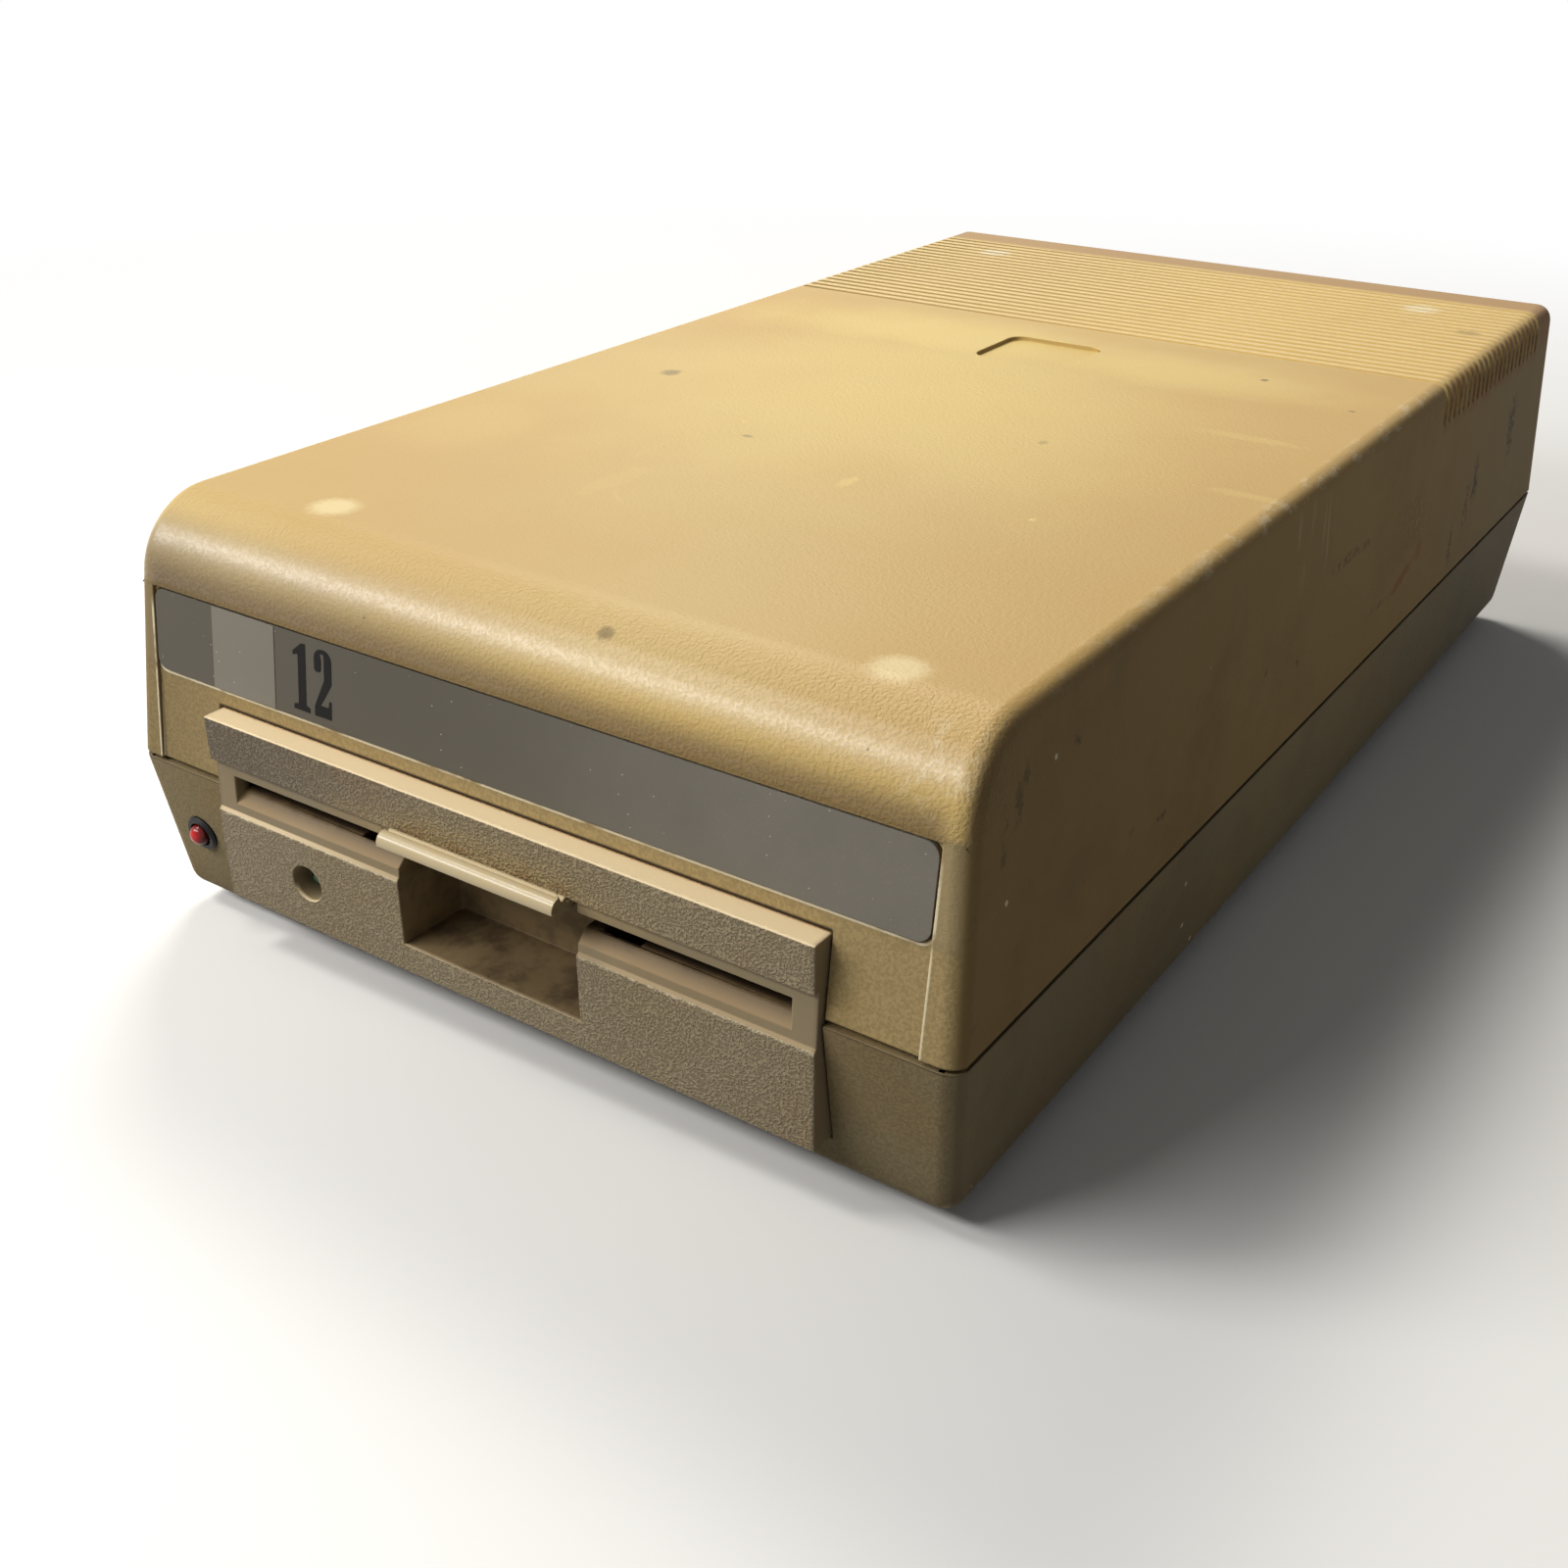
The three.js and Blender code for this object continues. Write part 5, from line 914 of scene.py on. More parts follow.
class DRIVE_OT_nameplate(bpy.types.Operator):
    """Build the grey nameplate, its light square and a plain number"""

    bl_idname = "drive.nameplate"
    bl_label = "Nameplate"

    def execute(self, context):
        s = sizes_mm(context)
        n, half = NAMEPLATE, s.plate_width / 2
        lean = math.atan2(TOP_LEAN.front, s.case_height - s.seam_height)
        tall = (s.plate_top - s.plate_bottom) / math.cos(lean)
        normal = Vector((0, math.cos(lean), -math.sin(lean)))
        corner = Vector((0, upper_front(s, s.plate_bottom), s.plate_bottom)) + normal * n.lift
        place = Matrix.Translation(corner) @ Matrix.Rotation(-lean, 4, "X")
        colours = context.scene.drive_colours
        plate = prism("name_plate", rectangle((-half, half), (0, tall), PLATE_RADIUS), (0, n.thickness), "Y",
                      place=place)
        field = rectangle(n.field, (0.05, tall - 0.05), 0)
        square = prism("plate_square", field, n.field_run, "Y", place=place)
        grey = plate_finish("Plate grey", colours.plate, 0.45)
        install(soften(plate, 0.12), "drive", "plate_metal", grey, "nameplate")
        light_grey = plate_finish("Square grey", colours.square, 0.32)
        install(soften(square, 0.05), "drive", "plate_metal", light_grey)
        install(self.number(s, place, tall), "drive", "plate_metal", ink_finish())
        return {"FINISHED"}

    def number(self, s, place, tall):
        """Bold condensed digits in the room they have."""
        left, right = NAMEPLATE.number
        low, high = NAMEPLATE.inset, tall - NAMEPLATE.inset
        digits = [d for d in s.plate_number if d in DIGITS]
        pitch = (right - left) / len(digits)
        wide = pitch * NAMEPLATE.width_share
        parts = []
        for i, digit in enumerate(digits):
            start = left + pitch * i
            points = [(start + u * wide, low + v * (high - low), r * wide) for u, v, r in DIGITS[digit]]
            parts.append(prism("stroke", points, NAMEPLATE.stroke_run, "Y", 6, place))
        first, *others = parts
        join(first, *others)
        first.name = "plate_number"
        return soften(first, 0)


# Lights


def lens_profile(radius, front, back, steps=10):
    """A dome and its stem, from the tip to the back."""
    dome = [(radius * math.sin(t), front + radius * (1 - math.cos(t)))
            for t in (math.pi / 2 * (k + 0.3) / (steps + 0.3) for k in range(steps + 1))]
    return dome + [(radius, back)]


class DRIVE_OT_lights(bpy.types.Operator):
    """Build the red activity light in its holder and the green power light"""

    bl_idname = "drive.lights"
    bl_label = "Lights"

    def execute(self, context):
        s = sizes_mm(context)
        place, body, rim, depth = light_place(s), LIGHT.body, LIGHT.rim, LIGHT.depth
        holder = turned("light_collar", [
            (2.8, depth), (body, depth), (body, -0.1), (rim - 0.2, -0.1), (rim, -0.4), (rim - 0.5, -0.95),
            (2.9, -0.95), (2.75, -0.6)], "Y", closed=True, place=place)
        install(soften(holder, 0), "drive", "black_plastic", collar_finish(), "light_holder")
        red = turned("red_lens", lens_profile(LIGHT.radius, LIGHT.tip, depth + 0.9), "Y", place=place)
        tinted = lens_finish("Red lens", "#c0060d", "#4a0205", LIGHT)
        install(soften(red, 0), "drive", "red_lens", tinted, "activity_light")
        flange = LAMP.depth - 1.6
        profile = lens_profile(LAMP.radius, LAMP.tip, flange) + [(3.8, flange), (3.8, LAMP.depth)]
        green = turned("green_lens", profile, "Y", (LAMP.x, LAMP.z))
        tinted = lens_finish("Green lens", "#173f2d", "#0a2217", LAMP)
        install(soften(green, 0), "drive", "green_lens", tinted, "power_light")
        return {"FINISHED"}


# Feet and rear sockets

# The lower edge of a foot, as (step in from its radius, height).
FOOT_EDGE = [(1.6, 0.25), (1.2, 0), (0.7, 0), (0.2, 0.2), (0, 0.7)]


class DRIVE_OT_feet(bpy.types.Operator):
    """Set a rubber foot in each corner of the floor"""

    bl_idname = "drive.feet"
    bl_label = "Feet"

    def execute(self, context):
        s = sizes_mm(context)
        edge = [(s.foot_radius - step, height) for step, height in FOOT_EDGE]
        top = UNDERSIDE + FOOT_BED - FIT_GAP
        template = turned("foot", edge + [(s.foot_radius, top)], sides=40)
        origin = -(CASE_RUN - BAR_DEPTH) / 2 * MM
        template.data.transform(Matrix.Translation((0, -origin, 0)))
        material = rubber_finish()
        middle = (FOOT_FRONT + FOOT_BACK) / 2 * MM + origin
        sizes = {
            "Across": 2 * FOOT_X * MM, "Along": (FOOT_BACK - FOOT_FRONT) * MM, "Middle": (0.0, middle, 0.0)}
        feet = spread("rubber_feet", soften(template, 0), material, sizes, on_grid)
        install(feet, "drive", "black_rubber", material, "foot_1", "foot_2", "foot_3", "foot_4")
        return {"FINISHED"}


SOCKET = SimpleNamespace(level=36, face=355.2, rim=9, radius=7.4, wall=1, cavity=9, depth=14, contact=0.6,
                         circle=4.3, count=6, arc=math.pi * 1.35)
SOCKET_PLACES = (
    ("round_socket_left", 6, "serial_socket_left"),
    ("round_socket_right", 30, "serial_socket_right"),
)
FUSE = SimpleNamespace(x=-20, face=359, depth=27, radius=6, head=4.8, head_radius=7.6, flutes=16)


class DRIVE_OT_rear_sockets(bpy.types.Operator):
    """Build the two round sockets, each with a ring of contacts, and the fuse cap"""

    bl_idname = "drive.rear_sockets"
    bl_label = "Rear Sockets"

    def execute(self, context):
        for name, x, node in SOCKET_PLACES:
            install(self.socket(name, x), "drive", "black_plastic", socket_finish(name, x), node)
        install(self.fuse_cap(), "drive", "black_plastic", socket_finish("fuse_cap"), "fuse_holder")
        return {"FINISHED"}

    def socket(self, name, x):
        k = SOCKET
        back, inner = k.face - k.depth, k.radius - k.wall
        shell = turned(name + "_shell", [
            (k.radius, back), (k.radius, k.face - 1.2), (k.rim, k.face - 1.2), (k.rim, k.face - 0.3),
            (k.rim - 0.3, k.face), (inner + 0.3, k.face), (inner, k.face - 0.3), (inner, k.face - k.cavity),
        ], "Y", (x, k.level))
        pin = turned("pin", [(k.contact * 0.5, 0.35), (k.contact * 0.9, 0.1), (k.contact, -0.3),
                             (k.contact, -6.5)], "Y", sides=16)
        pin.data.transform(TO_FRAME.inverted())
        pin.data.transform(Matrix.Scale(MM, 4))
        middle = tuple(TO_FRAME @ Vector((x, k.face - 2.6, k.level)))
        sizes = {"Count": k.count, "Radius": k.circle * MM, "First": -math.pi / 2 - k.arc / 2, "Sweep": k.arc,
                 "Middle": middle}
        return merge(name, soften(shell, 0), spread("pins", soften(pin, 0), None, sizes, on_arc))

    def fuse_cap(self):
        """The cap, with a slot for a coin and flutes round its head."""
        k, level = FUSE, SOCKET.level
        cap = turned("fuse_cap", [
            (k.radius, k.face - k.depth), (k.radius, k.face - k.head), (k.head_radius, k.face - k.head),
            (k.head_radius, k.face - 0.6), (k.head_radius - 0.6, k.face)], "Y", (k.x, level))
        slot = box("slot", (k.x - k.radius, k.x + k.radius), (k.face - 1.2, k.face + 2),
                   (level - 0.6, level + 0.6))
        ring = k.head_radius + 0.3
        flutes = [rod("flute", 0.7, (k.face - 4, k.face + 2), "Y",
                      (k.x + ring * math.cos(a), level + ring * math.sin(a)), 12)
                  for a in (math.tau * i / k.flutes for i in range(k.flutes))]
        return soften(cut(cap, slot, *flutes), 0.15)


# Finishes


def aged_shell(name, c, upper):
    """Moulded plastic with a leather grain, yellowed on top, darkened on the sides by painted shade and grimy
    clouds, with painted light and shade on the top and front, and scuffed at its edges.
    """
    p = Paint(name)
    x, y, z = p.x, p.y, p.z
    up = p.smooth(p.facing_z, 0.25, 0.8)
    right = p.smooth(p.facing_x, 0.45, 0.85)
    front = p.smooth(p.facing_y, -0.5, -0.95)
    sides = p.most(right, p.smooth(p.facing_x, -0.45, -0.85))
    fine = p.noise(0.7, 3.0, 0.6)
    leather = p.clouds(0.36, 0.64, 0.7, 1.5, 0.6, shift=9.0)
    if upper:
        ribs = p.within(y, 254.5, 349.5, 0.7) * (1 - sides)
        yellowed_top_and_painted_light(p, c, up, ribs)
        # Painted shade: the sides take the shaded side colour.
        p.tint(c.side, sides * 0.8)
        worn_front_and_painted_light(p, c, front, sides)
        p.tint(c.grime_and_shade, top_spots(p, x, y) * up)
    else:
        p.base = p.mix(c.olive, c.side, p.clouds(0.4, 0.65, 28, 3.0, 0.55, shift=3.0) * 0.4)
    # Painted shade, partly grimy clouds: the sides are darkened, and the right side more towards the front.
    # Faces that don't face up are darker towards the bottom.
    smoky = p.clouds(0.42, 0.7, 34, 4.0, 0.6, (0.5, 1.0, 1.0))
    p.tint(c.grime_and_shade, smoky * sides * 0.2 + p.smooth(y, 190, -10) * right * 0.3)
    p.tint(c.grime_and_shade, p.clouds(0.6, 0.85, 5, 4.0, 0.65) * sides * 0.35)
    p.tint(c.grime_and_shade, p.smooth(z, 16, 5) * (1 - up) * 0.25)
    # On the right side, the lower shell is darker towards the rear, and both shells are greyer towards the
    # rear.
    if not upper:
        p.tint(c.grime_and_shade, p.smooth(y, 150, 330) * right * 0.3)
    p.tint(c.plate, p.smooth(y, 220, 350) * right * 0.3)
    p.tint(c.grime_and_shade, side_marks(p, y, z) * right)
    p.tint(c.rust, red_marks(p, y, z) * right)
    p.tint(c.grime_and_shade, (1 - leather) * front * p.smooth(z, 64, 60) * 0.22)
    specks = p.most(p.specks(14, 0.3, 0.16), p.specks(9, 0.2, 0.12, (1.0, 1.3, 0.9)), white_chips(p, y, z))
    p.tint(c.dust_and_highlight, specks * right * 0.85)
    p.tint(c.grime_and_shade, p.specks(17, 0.4, 0.3, (1.1, 0.8, 1.2)) * (1 - right) * 0.6)
    if upper:
        p.tint(c.dust_and_highlight, edge_scuffs_and_highlight(p, x, y, z) * 0.7)
        p.tint(c.rust, groove_dirt(p, x, y, z))
        # Painted edge highlights, partly worn edges, round the nameplate's recess.
        p.tint(c.dust_and_highlight, recess_lines_and_highlights(p, x, z) * front * 0.8)
    p.tint(c.grime_and_shade, p.within(z, 39.0, 40.4, 0.3) * (0.25 + front * 0.65))
    if upper:
        curve = p.smooth(y, 22.0, 12.0) * p.smooth(z, 78.0, 80.0)
        grain = (leather * (0.65 + curve * 1.5) + fine * 0.5) * (1 - ribs * 0.85)
        roll = p.within(z, 80.0, 92.4, 1.4) * p.smooth(y, 20.0, 12.0) * (1 - sides)
        shine = roll * (0.55 + leather * 0.45)
    else:
        grain = leather * 0.8 + fine * 0.5
        shine = 0.0
    rough = 0.40 + p.noise(24, 3.0) * 0.08 + p.most(sides, front) * 0.34 + fine * 0.05
    return p.finish(rough, grain, 0.04, coat=shine, coat_roughness=0.31, gloss=0.25)


def yellowed_top_and_painted_light(p, c, up, ribs):
    """Clouds of amber and pale tan, the pale ones partly painted sheen, a grooved rear painted lighter,
    painted shade towards the front and the marks of feet.
    """
    x, y = p.x, p.y
    p.base = p.mix(c.tan, c.amber, amber_clouds(p, x, y) * up)
    p.tint(c.pale, pale_clouds_and_sheen(p, x, y) * up)
    # Painted light, partly a less yellowed tone: the grooved rear is lightened.
    p.tint(c.rib_and_light, ribs * 0.85)
    # Painted shade: the top is darkened towards the front.
    p.tint(darker(c.amber, 0.4), p.smooth(y, 240, 0) * up * 0.24)
    p.tint(p.mix(c.mark, c.dust_and_highlight, ribs * 0.8), foot_marks(p, x, y) * (up + ribs * 0.5))


def worn_front_and_painted_light(p, c, front, sides):
    """A painted highlight on the crest of the round edge, partly worn pale; painted shade under it, over the
    flat round the nameplate and towards the left; and dirt at the fascia.
    """
    x, y, z = p.x, p.y, p.z
    # Painted highlight, partly worn pale, on the crest of the round edge.
    crest = p.within(z, 87.0, 96.4, 1.5) * p.smooth(y, 22, 17) * (1 - sides)
    p.tint(c.dust_and_highlight, crest * 0.12)
    # Painted shade, partly a greyer tone: the front faces round the nameplate, and more of the front towards
    # the left.
    flat = front * p.most(p.smooth(z, 81.0, 79.0), p.smooth(x, 40.0, -60.0) * 0.75)
    p.tint(c.fascia, flat * (0.8 - p.smooth(z, 62, 59) * 0.2))
    p.tint(c.amber, p.clouds(0.45, 0.7, 28, 3.0, 0.55, shift=3.0) * front * 0.15)
    # Painted shade under the round edge.
    under = p.smooth(z, 87.5, 81.0) * p.smooth(z, 78.5, 79.8) * p.smooth(y, 14.0, 9.0)
    p.tint(darker(c.amber, 0.3), under * p.smooth(abs(x), 96.0, 90.0) * 0.85)
    # Painted shade on the lower round edge towards the left.
    low = p.smooth(z, 91.0, 84.0) * p.smooth(x, 40.0, -80.0) * p.smooth(y, 14.0, 9.0)
    p.tint(c.grime_and_shade, low * 0.15)
    # A dark joint at the fascia, and painted shade at the far left of the front.
    joint = p.within(z, 55.5, 57.4, 0.3) * p.smooth(abs(x), FASCIA_HALF + 0.8, FASCIA_HALF)
    p.tint(c.grime_and_shade, p.most(joint, p.smooth(x, -60, -100) * 0.3) * front)


def amber_clouds(p, x, y):
    """Deeper yellow towards the right edge, at the left rear and in loose clouds."""
    loose = p.clouds(0.4, 0.64, 80, 2.5, 0.5) * 0.45
    edge = p.smooth(x + (p.noise(40, 2.0, shift=2.0) - 0.5) * 60, 10, 95) * 0.6
    rear = p.blob(x, y, (-72, 222), (34, 34), 1.4, 1.0, 24.0) * 0.55
    right = p.blob(x, y, (66, 200), (36, 52), 1.5, 1.0, 26.0) * 0.6
    border = p.within(y, 238, 253, 5.0) * 0.4
    return p.most(loose, edge, rear, right, border)


def pale_clouds_and_sheen(p, x, y):
    """Washed-out clouds over the middle and rear, partly painted sheen, a faint ring and smears."""
    # The middle cloud and the diagonal band are painted sheen as well as paler patches.
    middle = p.blob(x, y, (-8, 160), (58, 62), 1.6, 1.2, 34.0) * 0.6
    glow = p.blob(x - (y - 225) * 0.5, y, (-34, 226), (46, 20), 1.5, 1.0, 22.0) * 0.75
    beside = p.blob(x - (y - 222) * 0.2, y, (40, 226), (36, 15), 1.4, 1.1, 18.0) * 0.6
    left = p.blob(x, y, (-76, 88), (16, 20), 1.5, 1.2, 14.0) * 0.25
    line = p.within(p.away(x, y, (16.5, 97.4)), 47.0, 48.6, 0.9)
    ring = line * p.clouds(0.4, 0.7, 20, 2.0, shift=7.0) * 0.35
    smears = p.blobs(x, y, [
        ((-24, 72), (3.5, 13), 0.25), ((70.6, 181), (14, 2.2), 0.35), ((87, 141), (9, 1.8), 0.3),
        ((16, 100), (1.6, 4.0), 0.7), ((58, 101), (0.8, 0.8), 0.9), ((-26.4, 124), (0.8, 0.8), 0.9),
    ], 1.0, 1.6, 2.4)
    return p.most(middle, glow, beside, left, ring, smears)


def foot_marks(p, x, y):
    """Round pale marks with furry edges, where the feet of another drive stood."""
    feet = [((-59.0, 24.3), 4.7), ((73.1, 21.7), 4.7), ((-69, 335.2), 4.6), ((66.9, 335.7), 4.6)]
    return p.blobs(x, y, [(at, (r, r), 0.65) for at, r in feet], 0.9, 0.6, 1.2)


def top_spots(p, x, y):
    """Small brown spots on the top."""
    return p.blobs(x, y, [
        ((-65.6, 149.3), (2.2, 2.6), 0.5), ((21, 10.5), (1.6, 1.1), 0.5), ((-19.1, 114.8), (1.6, 0.8), 0.45),
        ((85.7, 313), (3.4, 2.4), 0.4), ((58.1, 231.7), (0.9, 0.9), 0.7), ((84.9, 216.5), (0.8, 0.8), 0.5),
        ((37, 150), (1.0, 1.4), 0.3),
    ], 0.9, 1.4, 1.6)


def side_marks(p, y, z):
    """Smears and scratches on the right side."""
    spots = p.blobs(y, z, [
        ((331, 69), (3.4, 7.5), 0.95), ((296, 62), (2.6, 6), 1.0), ((289.5, 55.5), (1.9, 7), 0.85),
        ((277, 48.5), (1.6, 5), 0.7), ((184, 72.5), (10, 1.3), 0.5), ((196, 72), (6, 1.0), 0.4),
        ((40.7, 84.1), (1.7, 1.2), 0.6), ((18.7, 81), (1.3, 3.6), 0.6), ((21.2, 85), (1.2, 1.8), 0.5),
        ((14, 76), (1.1, 5), 0.45), ((80.4, 52.5), (2.2, 0.8), 0.7), ((66, 55), (1.4, 0.9), 0.4),
        ((94.3, 39.9), (1.6, 1.0), 0.6), ((155.3, 58.2), (1.6, 1.2), 0.45), ((134.5, 61.6), (0.8, 1.2), 0.6),
        ((212, 52), (8, 0.9), 0.35), ((238, 66), (9, 8), 0.2),
    ], 1.1, 2.4, 1.3)
    return spots * p.clouds(0.4, 0.56, 2.4, 3.0, 0.65, shift=6.0)


def red_marks(p, y, z):
    """Dark red scribbles low on the right side."""
    line = p.blob(y, z - (y - 232) * 0.25, (232, 53.5), (9, 1.5), 0.8, 1.7, 2.0)
    tail = p.blob(y, z, (245, 57), (2.4, 2.8), 0.9, 1.6, 1.8)
    return p.most(line * 0.8, tail * 0.6)


def white_chips(p, y, z):
    """Small white chips at known places on the right side."""
    places = [(32, 83.9), (15.3, 64.6), (100.4, 28), (111.8, 8.8), (104, 16)]
    return p.blobs(y, z, [(at, (0.55, 0.55), 1.0) for at in places], 0.5, 0.6, 0.8)


def edge_scuffs_and_highlight(p, x, y, z):
    """Pale scuffs along the upper right edge, a painted highlight on the front corner that is partly scuffed,
    and upright runs below.
    """
    edge = p.within(z, 94.6, 97.5, 0.7) * p.smooth(x, 91.5, 93.5)
    broken = p.clouds(0.5, 0.64, 3.2, 4.0, 0.7, (1.0, 0.45, 1.0))
    along = p.within(y, 30.0, 258.0, 25.0) * (0.45 + p.within(y, 100.0, 250.0, 40.0) * 0.55)
    runs = p.clouds(0.55, 0.7, 2.2, 2.0, 0.5, (1.0, 1.0, 0.08))
    below = p.within(z, 76.0, 92.0, 5.0) * p.within(y, 145.0, 172.0, 4.0) * p.smooth(x, 92.0, 95.5)
    # Painted highlight, partly scuffed: the right corner of the round front edge.
    corner = p.within(x, 84.0, 96.0, 3.0) * p.within(y, 0.5, 12.0, 3.0) * p.smooth(z, 80.0, 88.0)
    corner = corner * p.smooth(p.facing_x, 0.6, 0.3)
    return p.most(edge * broken * along * 0.45, runs * below * 0.25, corner * broken * 0.4)


def groove_dirt(p, x, y, z):
    """Reddish dirt where the grooves run over the side edges, in the grooves and behind them."""
    rows = p.within(y, 254.0, 350.0, 1.0)
    ends = p.smooth(abs(x), 88.0, 94.0) * p.within(z, 84.0, 95.8, 1.5)
    cloudy = p.clouds(0.35, 0.6, 7, 3.0, 0.6)
    sunk = p.smooth(z, 96.75, 96.3) * p.smooth(abs(x), 97.0, 92.0)
    border = p.smooth(y, 349.5, 352.5) * p.smooth(z, 84.0, 90.0) * 0.5
    return p.most(rows * ends * cloudy * 0.5, rows * sunk * 0.08, border)


def recess_lines_and_highlights(p, x, z):
    """Light lines round the nameplate's bed and down the step's two sides: painted edge highlights, partly
    worn edges.
    """
    bed = p.frame_line(x, z, (0.0, 69.85), (92.7, 9.45), 3.0, 0.45) * p.smooth(z, 77.0, 73.0)
    step = p.smooth(abs(abs(x) - 92.6), 0.45, 0.2) * p.smooth(z, 62.0, 60.0)
    worn = p.clouds(0.3, 0.5, 9, 3.0, 0.6)
    return p.most(bed, step) * worn


def fascia_finish(c):
    """Beige plastic with a coarse grain, smooth in its recess, with painted light on its upward faces, which
    are also cleaner, and painted shade on its left, in its slot and in its pocket, where it is also dirty.
    """
    p = Paint("Fascia pebble")
    x, y, z = p.x, p.y, p.z
    front = p.smooth(p.facing_y, -0.7, -0.95)
    # Upward faces, cleaner and painted light, with the lip's upward chamfer, more towards the left.
    lip = p.smooth(z, 35.6, 35.1) * p.smooth(y, 0.4, 0) * (0.35 + p.smooth(x, 0, -60) * 0.4)
    clean_and_lit_up = p.smooth(p.facing_z, 0.25, 0.6) * p.most(p.smooth(z, 52, 54), lip)
    recess = p.within(z, 34.2, 46.4, 0.25)
    cloud = p.noise(22, 3.0, 0.55)
    fine_dirt = p.noise(1.6, 3.0, 0.65)
    left = p.smooth(x, 15.0, -75.0)
    p.base = p.mix(c.fascia, c.side, p.smooth(cloud, 0.4, 0.65) * 0.25)
    # Painted shade: darker towards the left, most on the band, and a little in the recess.
    p.tint(c.grime_and_shade, left * (0.16 + p.smooth(z, 44, 47) * 0.56) + recess * front * 0.08)
    p.tint(c.rust, p.clouds(0.5, 0.75, 16, 4.0, 0.65, shift=5.0) * 0.25)
    hand = p.blob(x, z, (-1, 46.0), (30, 5.2), 1.3, 0.8, 6.0) * p.clouds(0.3, 0.6, 0.8, 3.0, 0.6)
    p.tint(c.tan, hand * front * 0.4)
    p.tint(c.rust, hand * front * p.clouds(0.5, 0.7, 5, 2.0, shift=4.0) * 0.4)
    # Painted light on the upward faces, which are also cleaner.
    p.tint(c.clean_lit_ledge, clean_and_lit_up)
    # Painted shade on the slot's ramp, darker further in.
    ramp = recess * p.smooth(p.facing_z, 0.2, 0.5) * (1 - clean_and_lit_up)
    p.tint(c.side, ramp)
    p.tint(c.grime_and_shade, ramp * p.smooth(y, -1, 1.5) * 0.35)
    # Painted shade deep in the slot, partly dirt.
    inside = recess * p.smooth(y + (p.noise(5, 4.0, 0.65) - 0.5) * 3, 0.6, 3.4)
    p.tint(c.grime_and_shade, inside * 0.92)
    # Painted shade in the finger pocket, with stains, and its upward faces darker still.
    hollow = p.smooth(z, 46.0, 45.5) * p.within(x, -22.6, 22.6, 0.3)
    pocket = p.most(1 - front, p.smooth(y, 2, 4)) * hollow * (1 - clean_and_lit_up)
    stains = p.clouds(0.42, 0.68, 7, 4.0, 0.6)
    p.tint(c.side, pocket * 0.7)
    p.tint(c.grime_and_shade, pocket * (0.1 + stains * 0.42 + p.smooth(p.facing_z, 0.3, 0.8) * 0.32))
    p.tint(c.grime_and_shade, p.blob(x, y, (17, 12), (7, 4), 0.9, 1.3, 3.0) * pocket * 0.6)
    # Darker at its two ends.
    p.tint(c.grime_and_shade, p.smooth(abs(x), FASCIA_HALF - 1.2, FASCIA_HALF) * 0.3)
    # Painted highlight, partly dusty: a light line along the lower lip's edge.
    p.tint(c.dust_and_highlight, p.within(z, 33.7, 34.3, 0.25) * front * p.smooth(fine_dirt, 0.4, 0.6) * 0.35)
    p.tint(c.grime_and_shade, p.specks(13, 0.45, 0.3) * 0.7)
    p.tint(c.dust_and_highlight, p.specks(11, 0.3, 0.2, (1.2, 1.0, 0.8)) * 0.5)
    pebble = p.clouds(0.38, 0.62, 0.55, 1.5, 0.6)
    fine = p.noise(0.4, 3.0, 0.6)
    rough_face = front * (1 - recess) * (1 - pocket)
    p.tint(c.grime_and_shade, (1 - pebble) * rough_face * 0.3)
    # Painted highlights, partly dusty, on the grain's crests.
    p.tint(c.dust_and_highlight, p.smooth(pebble, 0.8, 1.0) * rough_face * 0.1)
    height = pebble * rough_face + fine * 0.3
    return p.finish(0.48 + cloud * 0.15 + pocket * 0.1, height, 0.17, gloss=0.4)


def gate_finish(c):
    """Smooth glossy cream plastic with faint stains, painted shadow towards its back under the band, and
    darker end faces.
    """
    p = Paint("Gate cream")
    stain = p.clouds(0.5, 0.75, 6, 3.0, 0.6)
    p.base = p.mix(c.cream, c.tan, stain * 0.35)
    # Painted shadow under the band.
    p.tint(c.grime_and_shade, p.smooth(p.y, -2.6, 0.5) * 0.6)
    p.tint(c.grime_and_shade, p.smooth(abs(p.facing_x), 0.6, 0.9) * 0.5)
    p.tint(c.grime_and_shade, p.specks(5, 0.2, 0.25) * 0.6)
    arc = p.smooth(p.y, -4.4, -4.8)
    return p.finish(0.5 - arc * 0.15, coat=arc * 0.45, coat_roughness=0.2, gloss=0.3)


def plate_finish(name, tone, roughness):
    """Satin grey with fine light and dark specks, clouded wear, and painted shade towards the left."""
    p = Paint(name)
    cloud = p.noise(26, 3.0, 0.55)
    fleck = p.clouds(0.56, 0.72, 0.5, 2.0, 0.7)
    p.base = p.mix(tone, darker(tone, 1.5), fleck * 0.35)
    p.tint(darker(tone, 0.78), p.smooth(cloud, 0.4, 0.65) * 0.45)
    # Painted shade: a shaded copy of the tone, stronger towards the left.
    shaded = tuple(part * share for part, share in zip(tone, (0.42, 0.40, 0.36)))
    p.tint(shaded, p.smooth(p.x, 75.0, -25.0) * 0.9)
    p.tint(shade("#e5decb"), p.most(p.specks(2.2, 0.17, 0.5), p.specks(6, 0.26, 0.35)) * 0.55)
    p.tint(shade("#2b2824"), p.specks(19, 0.4, 0.2) * 0.7)
    return p.finish(roughness + cloud * 0.15, p.noise(0.7, 3.0), 0.015, gloss=0.25)


